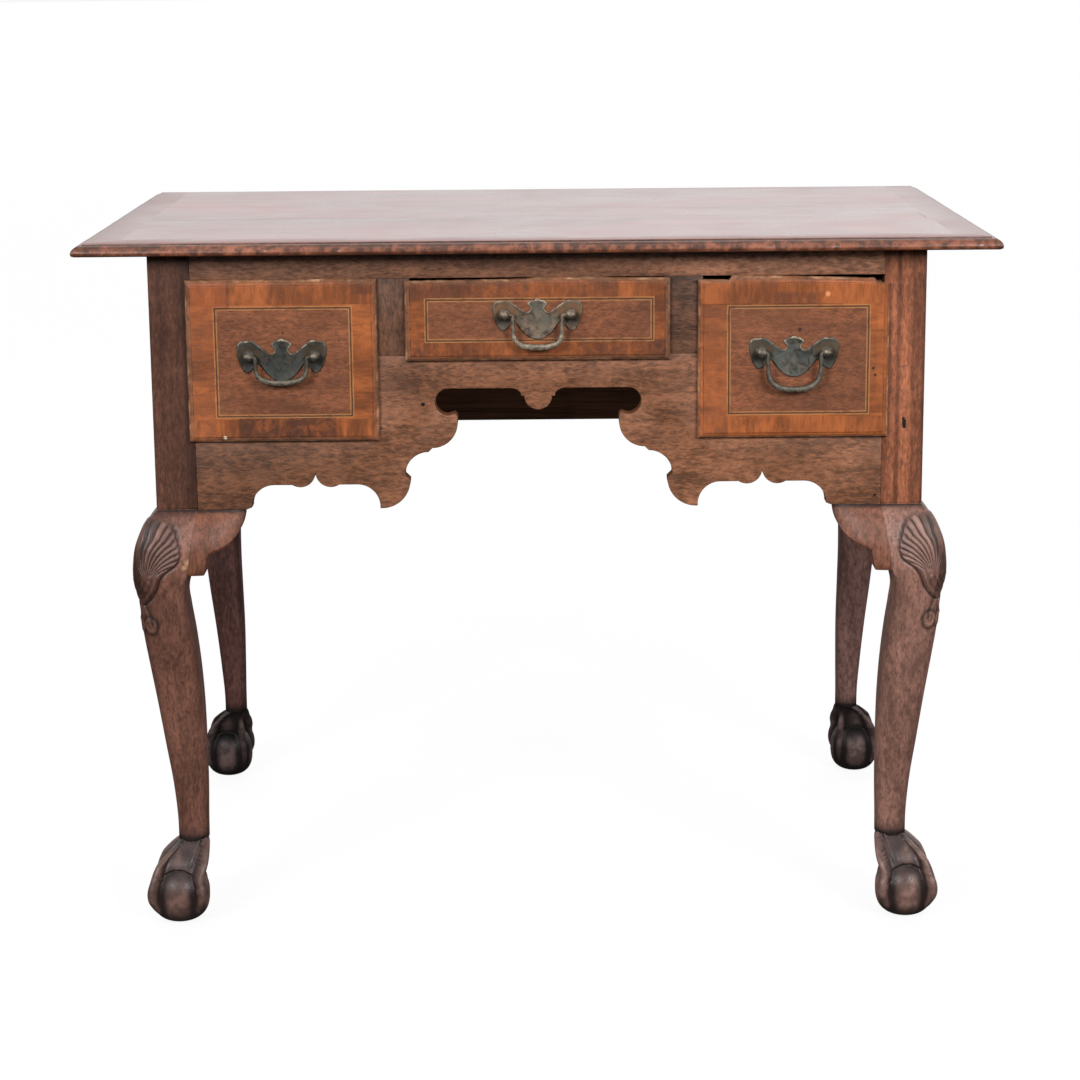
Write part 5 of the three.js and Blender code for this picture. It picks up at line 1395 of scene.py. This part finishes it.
def plate_piece(side, finish):
    """A plate: its outline drawn in by steps to a chamfered rim and a slightly hollowed face."""
    x, z = DRAWERS[side]["handle"]
    outline = plate_outline(DRAWERS[side]["crown"])
    layers, wear_and_highlight = [], []
    for inset, rise, worn in PLATE_STEPS:
        ring = drawn_in(softened_loop(outline, int(inset * 14)), inset)
        layers.append(np.stack([x + ring[:, 0], np.full(len(ring), LIP_FRONT - rise), z + ring[:, 1]], -1))
        # Pale wear with painted highlights on the rim, most on its upper side and the lobes' tips, in spots.
        upper = smooth_step(-6, 8, ring[:, 1]) * 0.75 + 0.25
        tips = smooth_step(17, 30, np.abs(ring[:, 0])) + smooth_step(13, 8, np.abs(ring[:, 0]))
        spots = smooth_step(-0.25, 0.55, waver(ring[:, 0] * 2 + ring[:, 1], 5, 31))
        wear_and_highlight.append(worn * upper * (0.35 + 0.65 * np.clip(tips, 0, 1)) * (0.2 + 0.8 * spots))
    points, faces = closed_rings(np.array(layers), flat_ends=True)
    marks = {"wear_and_highlight": np.clip(np.concatenate(wear_and_highlight), 0, 1), "shade_and_dirt": np.zeros(len(points))}
    return put_piece(f"{side}_plate", points, faces, f"{side}_drawer", [f"{side}_drawer_backplate"], finish,
                     marks=marks, facet=60)


def stud_piece(side, hand, finish):
    """A stud turned about its own length: nut, shank, collar, neck and a round head."""
    x, z = DRAWERS[side]["handle"]
    x += POST_OFFSET * (-1 if hand == "left" else 1)
    head = arc((0, 9.5), (5, 5), -0.55, 1, 14)
    profile = np.array([
        (0.01, 28.3), (5.5, 28.3), (5.5, 24.3), (2.6, 24.3), (2.6, -1.4), (5.9, -1.6), (5.9, -2.3),
        (5.2, -3.0), (3.9, -3.4), (3.1, -4.2), (3.2, -5.4),
    ])
    profile = np.vstack([profile, [(r, -d) for r, d in head if r > 0]])
    profile[-1, 0] = 0.01
    angle = np.linspace(0, 2 * math.pi, 36, endpoint=False)
    ring = np.stack([np.cos(angle), np.zeros(36), np.sin(angle)], -1)
    rings = np.array([[x, LIP_FRONT + along, z] + radius * ring for radius, along in profile])
    points, faces = closed_rings(rings)
    rise = LIP_FRONT - points[:, 1]
    # Two painted highlights on the head and a painted lighter upper half, and painted shade around the neck under the
    # head.
    off = np.hypot(points[:, 0] - x + 2.6, points[:, 2] - z - 2.0)
    second = np.hypot(points[:, 0] - x - 2.8, points[:, 2] - z - 1.2)
    bright = np.maximum(smooth_step(2.0, 0.8, off), 0.7 * smooth_step(1.8, 0.7, second))
    upper = 0.4 * smooth_step(-1.5, 2.5, points[:, 2] - z)
    wear_and_highlight = np.maximum(0.8 * bright, upper) * smooth_step(6, 8, rise)
    return put_piece(f"{side}_stud_{hand}", points, faces, f"{side}_drawer", [f"{side}_drawer_stud_{hand}"],
                     finish, marks={"wear_and_highlight": wear_and_highlight, "shade_and_dirt": 0.7 * smooth_step(1, 0, np.abs(rise - 4.4))})


# Bails: half width of the ring, drop, how square its bottom is, the grip's radius and how much pale wear and painted
# highlight it has.
BAILS = {
    "left": {"half": 25.6, "drop": 26, "square": 0.62, "grip": 3.1, "worn": 0.45},
    "center": {"half": 24.4, "drop": 32.5, "square": 0.42, "grip": 3.3, "worn": 0.8},
    "right": {"half": 26.5, "drop": 37, "square": 0.55, "grip": 3.1, "worn": 0.35},
}


def bail_path(half, drop, square):
    """The bail's middle line: a pin, a bend, an arm, a rounded bottom and back up, as (across, up)."""
    angle = np.linspace(0, math.pi, 61)
    start = -9.0
    down = start - (drop + start) * np.sin(angle) ** square
    across = half * np.sign(np.cos(angle)) * np.abs(np.cos(angle)) ** 0.8
    bend = arc((half + 2.4, -2.4), (2.4, 2.4), 1, 2, 6)
    arm = np.array([(half, -4.5), (half, -6.8)])
    side = np.vstack([[(37, 0), (31, 0)], bend, arm])
    return np.vstack([side, np.stack([across, down], -1), (side * [-1, 1])[::-1]])


def bail_piece(side, finish):
    """A bail: a round section carried along its path, thickest at the grip, with a bead at each bend."""
    x, z = DRAWERS[side]["handle"]
    data = BAILS[side]
    path = bail_path(data["half"], data["drop"], data["square"])
    path = softened(evenly(path, 150), 3)
    lead = np.gradient(path, axis=0)
    lead /= np.linalg.norm(lead, axis=1)[:, None]
    low = np.clip((-path[:, 1] - 8) / (data["drop"] - 8), 0, 1)
    radius = 2.1 + (data["grip"] - 2.1) * low**2
    radius = np.where(np.abs(path[:, 0]) > data["half"] + 2.5, 1.9, radius)
    radius = radius + 0.5 * hump(low - 0.62, 0.07)
    angle = np.linspace(0, 2 * math.pi, 20, endpoint=False)
    across = np.cos(angle)[None] * radius[:, None]
    out = np.sin(angle)[None] * radius[:, None]
    rings = np.stack([
        x + path[:, :1] + across * lead[:, 1:], PIN_AXIS + out, z + path[:, 1:] - across * lead[:, :1]], -1)
    points, faces = closed_rings(rings)
    # Painted highlights on the side facing the front and along the lower edge, most on the grip, where it is also
    # worn.
    facing = smooth_step(0.2, 0.9, -out / radius[:, None])
    lower = smooth_step(0.1, 0.8, (across * lead[:, :1]) / radius[:, None]) * facing
    wear_and_highlight = np.clip(0.05 + (0.15 + 0.5 * low[:, None]) * facing + 0.35 * lower, 0, 1)
    wear_and_highlight = np.concatenate([wear_and_highlight.ravel() * data["worn"], [0, 0]])
    return put_piece(f"{side}_bail_ring", points, faces, f"{side}_bail", [f"{side}_drawer_bail"], finish,
                     marks={"wear_and_highlight": wear_and_highlight, "shade_and_dirt": np.zeros(len(points))})


# The stage, in metres: the floor and the round wall near its edge, the lamps as (name, place, aim, share of
# their power, width), and the camera's place, tilt, roll and upward shift as a share of the frame.

FLOOR_HALF = 60.0
WALL_RADIUS = FLOOR_HALF * 0.9
WALL_POINTS = 64
LAMPS = (
    ("lamp left", (-1.9, -3.0, 2.0), (0, 0, 0.4), 1, 1.1),
    ("lamp right", (1.9, -3.0, 2.0), (0, 0, 0.4), 1, 1.1),
    ("lamp over", (0, -0.9, 3.4), (0, 0, 0.5), 0.16, 1.8),
)
CAMERA_PLACE = (0.001115, -2.7371, 0.9979)
CAMERA_TILT = 0.20804
CAMERA_ROLL = 0.00865
CAMERA_SHIFT = -60 / 1080


# The operators.

class LOWBOY_OT_top(bpy.types.Operator):
    """Finishes the top's boards and lays its mitred borders with their thumb-moulded edge"""
    bl_idname = "lowboy.top"
    bl_label = "Top"

    def execute(self, context):
        wood = context.scene.lowboy_wood
        for which, axis, shift in (("front", 1, (1, 2, 3)), ("left", 0, (4, 5, 6)), ("right", 0, (7, 8, 9))):
            border_piece(which, border_finish(f"border wood {which}", wood, axis, shift))
        for name, shift in (("top_board_front", (2, 0, 1)), ("top_board_rear", (5, 1, 0))):
            dress(name, top_finish(f"{name} wood", wood.top, 0, shift))
        return {"FINISHED"}


class LOWBOY_OT_case(bpy.types.Operator):
    """Makes the apron, the rail, the dividers and the side panels, and finishes the back, the runners and the kickers
    """
    bl_idname = "lowboy.case"
    bl_label = "Case"

    def execute(self, context):
        wood, carving = context.scene.lowboy_wood, context.scene.lowboy_carving
        edge = carving.edge / METRE
        apron = case_finish("apron wood", 0, wood.apron, (3, 1, 2), marks=APRON_HOLES, stripes=APRON_STRIPES)
        points, faces = shaped_board(apron_outline(), CASE_FRONT, FRONT_INNER, edge)
        put_piece("apron", points, faces, "case", ["front_apron"], apron)
        rail = case_finish("rail wood", 0, wood.case, (1, 6, 2), stripes=RAIL_STRIPES)
        outline = box_outline(-POST_INNER, POST_INNER, OPENING_TOP, TOP_UNDERSIDE)
        put_piece("rail", *shaped_board(outline, CASE_FRONT, FRONT_INNER, edge), "case", ["top_rail"], rail)
        for side, hand, axis in ((-1, "left", 2), (1, "right", 0)):
            upright = case_finish(f"divider wood {hand}", axis, wood.case, (side, 2, 5), stripes=(DIVIDER_STRIPES,))
            low, high = sorted((side * CENTER_OPENING_HALF, side * DIVIDER_OUTER))
            outline = box_outline(low, high, CENTER_OPENING_BOTTOM, OPENING_TOP)
            put_piece(f"divider_{hand}", *shaped_board(outline, CASE_FRONT, FRONT_INNER, edge * 0.6), "case",
                      [f"drawer_divider_{hand}"], upright)
            panel = case_finish(f"side wood {hand}", 1, wood.case, (side, 7, 3), contrast=0.34, along=14)
            points, faces = shaped_board(side_outline(), CASE_SIDE, PANEL_INNER, edge * 0.7, plane="side")
            points = flipped(points) if side < 0 else points
            put_piece(f"side_{hand}", points, faces, "case", [f"side_panel_{hand}"], panel)
        self.plain_boards(wood)
        return {"FINISHED"}

    def plain_boards(self, wood):
        """Finishes the back, the runners and the kickers, whose shapes stay as they are packed."""
        kinds = ("side_runner_outer", "side_runner_inner", "center_runner", "kicker")
        names = ["back_panel"] + [f"{kind}_{hand}" for hand in ("left", "right") for kind in kinds]
        for number, name in enumerate(names):
            axis, share = (0, BACK_SHARE) if name == "back_panel" else (1, INNER_SHARE)
            dress(name, inner_finish(f"{name} wood", axis, scaled(wood.inner, share), (number, 3, 1)))


class LOWBOY_OT_legs(bpy.types.Operator):
    """Carves the four legs: post, knee, shank, claws and ball, with a shell on each front knee"""
    bl_idname = "lowboy.legs"
    bl_label = "Legs"

    def execute(self, context):
        wood, carving = context.scene.lowboy_wood, context.scene.lowboy_carving
        cuts = {"ribs": carving.ribs, "rib_depth": carving.rib_depth / METRE, "relief": carving.relief / METRE}
        for end, carved, place, gloss in (("front", cuts, 4, 0.4), ("rear", None, 9, 0.15)):
            rings, marks = lowboy_leg(carving=carved, **LEGS[end])
            marks = {key: np.concatenate([value.ravel(), [0, 0]]) for key, value in marks.items()}
            for side, hand in ((-1, "left"), (1, "right")):
                corner = f"{end}_{hand}"
                shank_share, post_share = LEG_TONES[corner]
                finish = leg_finish(
                    f"leg wood {end} {hand}", scaled(wood.leg, shank_share), scaled(wood.foot, FOOT_TONES[corner]),
                    (side, place, 2), scaled(wood.leg, post_share), POST_STRIPES.get(corner, ()),
                    POST_KNOT if side > 0 else (), gloss, SCUFFS.get(corner, ()),
                )
                points, faces = closed_rings(place_leg(rings, side, end))
                put_piece(f"{end}_leg_{hand}", points, faces, "case", [f"leg_{corner}"], finish, marks=marks, facet=0)
        return {"FINISHED"}


class LOWBOY_OT_brackets(bpy.types.Operator):
    """Shapes the six knee brackets so that their faces run on from the knees"""
    bl_idname = "lowboy.brackets"
    bl_label = "Knee brackets"

    def execute(self, context):
        wood = context.scene.lowboy_wood
        for number, name in enumerate(BRACKETS):
            tone = scaled(wood.leg, BRACKET_TONES[name.split("_")[-1]])
            bracket_piece(name, leg_finish(f"bracket wood {name}", tone, tone, (number, 1, 7)))
        return {"FINISHED"}


class LOWBOY_OT_drawers(bpy.types.Operator):
    """Makes the three crossbanded drawer fronts and finishes the drawer boxes"""
    bl_idname = "lowboy.drawers"
    bl_label = "Drawers"

    def execute(self, context):
        wood = context.scene.lowboy_wood
        for number, side in enumerate(SIDES):
            low, high = DRAWERS[side]["line"]
            shift = (number * 3, 1, number)
            finish = front_finish(f"{side} front wood", wood, low, high, shift=shift, **DRAWER_LOOKS[side])
            drawer_front(side, finish)
            for part, axis in (("side_left", 1), ("side_right", 1), ("back", 0), ("bottom", 0)):
                finish = inner_finish(f"{side} {part} wood", axis, wood.inner, (number, axis, len(part)))
                dress(f"{side}_drawer_{part}", finish)
        return {"FINISHED"}


class LOWBOY_OT_handles(bpy.types.Operator):
    """Casts the batwing plates, the studs and the bails"""
    bl_idname = "lowboy.handles"
    bl_label = "Handles"

    def execute(self, context):
        brass = context.scene.lowboy_brass
        for number, side in enumerate(SIDES):
            shine = BRASS_SHINE[side]
            x, z = DRAWERS[side]["handle"]
            wings = [(x + across, z + up, radius) for across, up, radius in WING_SPOTS]
            plate = brass_finish(f"{side} plate brass", brass, (number, 2, 1), 0.85, shine, wings)
            metal = brass_finish(f"{side} handle brass", brass, (number, 5, 3), 0.2, tuple(c * 0.8 for c in shine))
            plate_piece(side, plate)
            for hand in ("left", "right"):
                stud_piece(side, hand, metal)
            bail_piece(side, metal)
        return {"FINISHED"}


class LOWBOY_OT_stage(bpy.types.Operator):
    """Sets the pale floor, the soft lights and the camera"""
    bl_idname = "lowboy.stage"
    bl_label = "Stage"

    def execute(self, context):
        scene, stage = context.scene, context.scene.lowboy_stage
        scene.view_settings.view_transform = "Standard"
        scene.world = self.sky(stage.sky)
        self.floor(scene, stage)
        self.lamps(scene, stage)
        scene.camera = self.camera(scene, stage)
        return {"FINISHED"}

    def floor(self, scene, stage):
        """A pale floor that shines a little, and a round wall of the same far around the lowboy."""
        finish = Finish("pale floor")
        finish.shader.inputs["Emission Color"].default_value = (1, 1, 1, 1)
        finish.shader.inputs["Emission Strength"].default_value = stage.glow
        tone = finish.mix(finish.noise(0.6, 2), (stage.floor,) * 3, (stage.floor * 0.985,) * 3)
        pale = finish.seal(tone, 0.9, gloss=0.1)
        turn = np.linspace(0, 2 * math.pi, WALL_POINTS, endpoint=False)
        ring = WALL_RADIUS * np.stack([np.cos(turn), np.sin(turn)], -1)
        low, high = (np.column_stack([ring, np.full(WALL_POINTS, height)]) for height in (0.0, FLOOR_HALF))
        corners = box_outline(-FLOOR_HALF, FLOOR_HALF, -FLOOR_HALF, FLOOR_HALF)
        for name, points, faces in (
            ("floor", np.column_stack([corners, np.zeros(4)]), [(0, 1, 2, 3)]),
            ("backdrop", np.vstack([low, high]), ring_faces(2, WALL_POINTS)),
        ):
            mesh = bpy.data.meshes.new(name)
            mesh.from_pydata(points.tolist(), [], faces)
            mesh.materials.append(pale)
            stage_piece = bpy.data.objects.new(name, mesh)
            scene.collection.objects.link(stage_piece)
            stage_piece.visible_diffuse = False
            stage_piece.visible_glossy = False
            stage_piece.visible_shadow = name == "floor"

    def lamps(self, scene, stage):
        """Square lamps, each turned from straight down towards its aim."""
        for name, place, aim, share, span in LAMPS:
            light = bpy.data.lights.new(name, "AREA")
            light.energy = stage.key * share
            light.size = span
            lamp = bpy.data.objects.new(name, light)
            direction = np.array(aim) - np.array(place)
            direction = direction / np.linalg.norm(direction)
            turn = math.atan2(direction[0], -direction[1])
            tilt = math.acos(-direction[2])
            lamp.matrix_world = (
                Matrix.Translation(place) @ Matrix.Rotation(turn, 4, "Z") @ Matrix.Rotation(-tilt, 4, "X")
            )
            scene.collection.objects.link(lamp)

    def camera(self, scene, stage):
        """A camera a metre over the floor in front of the lowboy, tilted down a little."""
        view = bpy.data.cameras.new("camera")
        view.lens = stage.lens
        view.sensor_width = 36
        view.shift_y = CAMERA_SHIFT
        view.clip_start, view.clip_end = 0.05, 200
        camera = bpy.data.objects.new("camera", view)
        camera.matrix_world = (
            Matrix.Translation(CAMERA_PLACE)
            @ Matrix.Rotation(QUARTER - CAMERA_TILT, 4, "X")
            @ Matrix.Rotation(-CAMERA_ROLL, 4, "Z")
        )
        scene.collection.objects.link(camera)
        return camera

    def sky(self, strength):
        """A soft sky: dim at the horizon and from below, brighter above and behind the lowboy."""
        world = bpy.data.worlds.new("soft sky")
        world.use_nodes = True
        nodes, links = world.node_tree.nodes, world.node_tree.links
        split = nodes.new("ShaderNodeSeparateXYZ")
        links.new(nodes.new("ShaderNodeTexCoord").outputs["Generated"], split.inputs[0])
        shares = []
        for axis, low, high in ((2, -0.05, 0.2), (1, 0.2, 0.9)):
            spread = nodes.new("ShaderNodeMapRange")
            spread.interpolation_type = "SMOOTHSTEP"
            links.new(split.outputs[axis], spread.inputs[0])
            spread.inputs[1].default_value, spread.inputs[2].default_value = low, high
            shares.append(spread.outputs[0])
        behind = nodes.new("ShaderNodeMath")
        behind.operation = "MULTIPLY_ADD"
        behind.inputs[1].default_value, behind.inputs[2].default_value = 1.08 * strength, 0.36 * strength
        across = nodes.new("ShaderNodeMapRange")
        links.new(split.outputs[0], across.inputs[0])
        for number, value in enumerate((-0.3, 0.3, 0.86, 1.24)):
            across.inputs[number + 1].default_value = value
        slanted = nodes.new("ShaderNodeMath")
        slanted.operation = "MULTIPLY"
        links.new(shares[1], slanted.inputs[0])
        links.new(across.outputs[0], slanted.inputs[1])
        links.new(slanted.outputs[0], behind.inputs[0])
        whole = nodes.new("ShaderNodeMath")
        whole.operation = "MULTIPLY_ADD"
        whole.inputs[2].default_value = 0.07 * strength
        links.new(behind.outputs[0], whole.inputs[0])
        links.new(shares[0], whole.inputs[1])
        links.new(whole.outputs[0], nodes["Background"].inputs[1])
        nodes["Background"].inputs[0].default_value = (1, 1, 1, 1)
        return world


class LOWBOY_PT_panel(bpy.types.Panel):
    """Lists the lowboy's pieces and the sizes and colours behind them"""
    bl_idname = "LOWBOY_PT_panel"
    bl_label = "Lowboy"
    bl_space_type = "VIEW_3D"
    bl_region_type = "UI"
    bl_category = "Lowboy"

    def draw(self, context):
        """A button for each step, then a box for each group of sizes and colours."""
        for step in STEPS:
            self.layout.operator(step.bl_idname)
        for name, group in GROUPS:
            box = self.layout.box()
            for key in group.__annotations__:
                box.prop(getattr(context.scene, name), key)


GROUPS = (
    ("lowboy_wood", LowboyWood), ("lowboy_brass", LowboyBrass),
    ("lowboy_carving", LowboyCarving), ("lowboy_stage", LowboyStage),
)
STEPS = (
    LOWBOY_OT_stage, LOWBOY_OT_top, LOWBOY_OT_case, LOWBOY_OT_legs, LOWBOY_OT_brackets, LOWBOY_OT_drawers,
    LOWBOY_OT_handles,
)


def register():
    """Adds the groups, the steps and the panel, and puts a set of each group's values on every scene."""
    for _, group in GROUPS:
        bpy.utils.register_class(group)
    for step in STEPS:
        bpy.utils.register_class(step)
    bpy.utils.register_class(LOWBOY_PT_panel)
    for key, group in GROUPS:
        setattr(bpy.types.Scene, key, PointerProperty(type=group))


def unregister():
    """Takes away what register adds, in reverse."""
    for key, _ in GROUPS:
        delattr(bpy.types.Scene, key)
    bpy.utils.unregister_class(LOWBOY_PT_panel)
    for step in reversed(STEPS):
        bpy.utils.unregister_class(step)
    for _, group in reversed(GROUPS):
        bpy.utils.unregister_class(group)


def main():
    """Runs every step in order."""
    register()
    for step in STEPS:
        group, call = step.bl_idname.split(".")
        getattr(getattr(bpy.ops, group), call)()


if __name__ == "__main__":
    main()
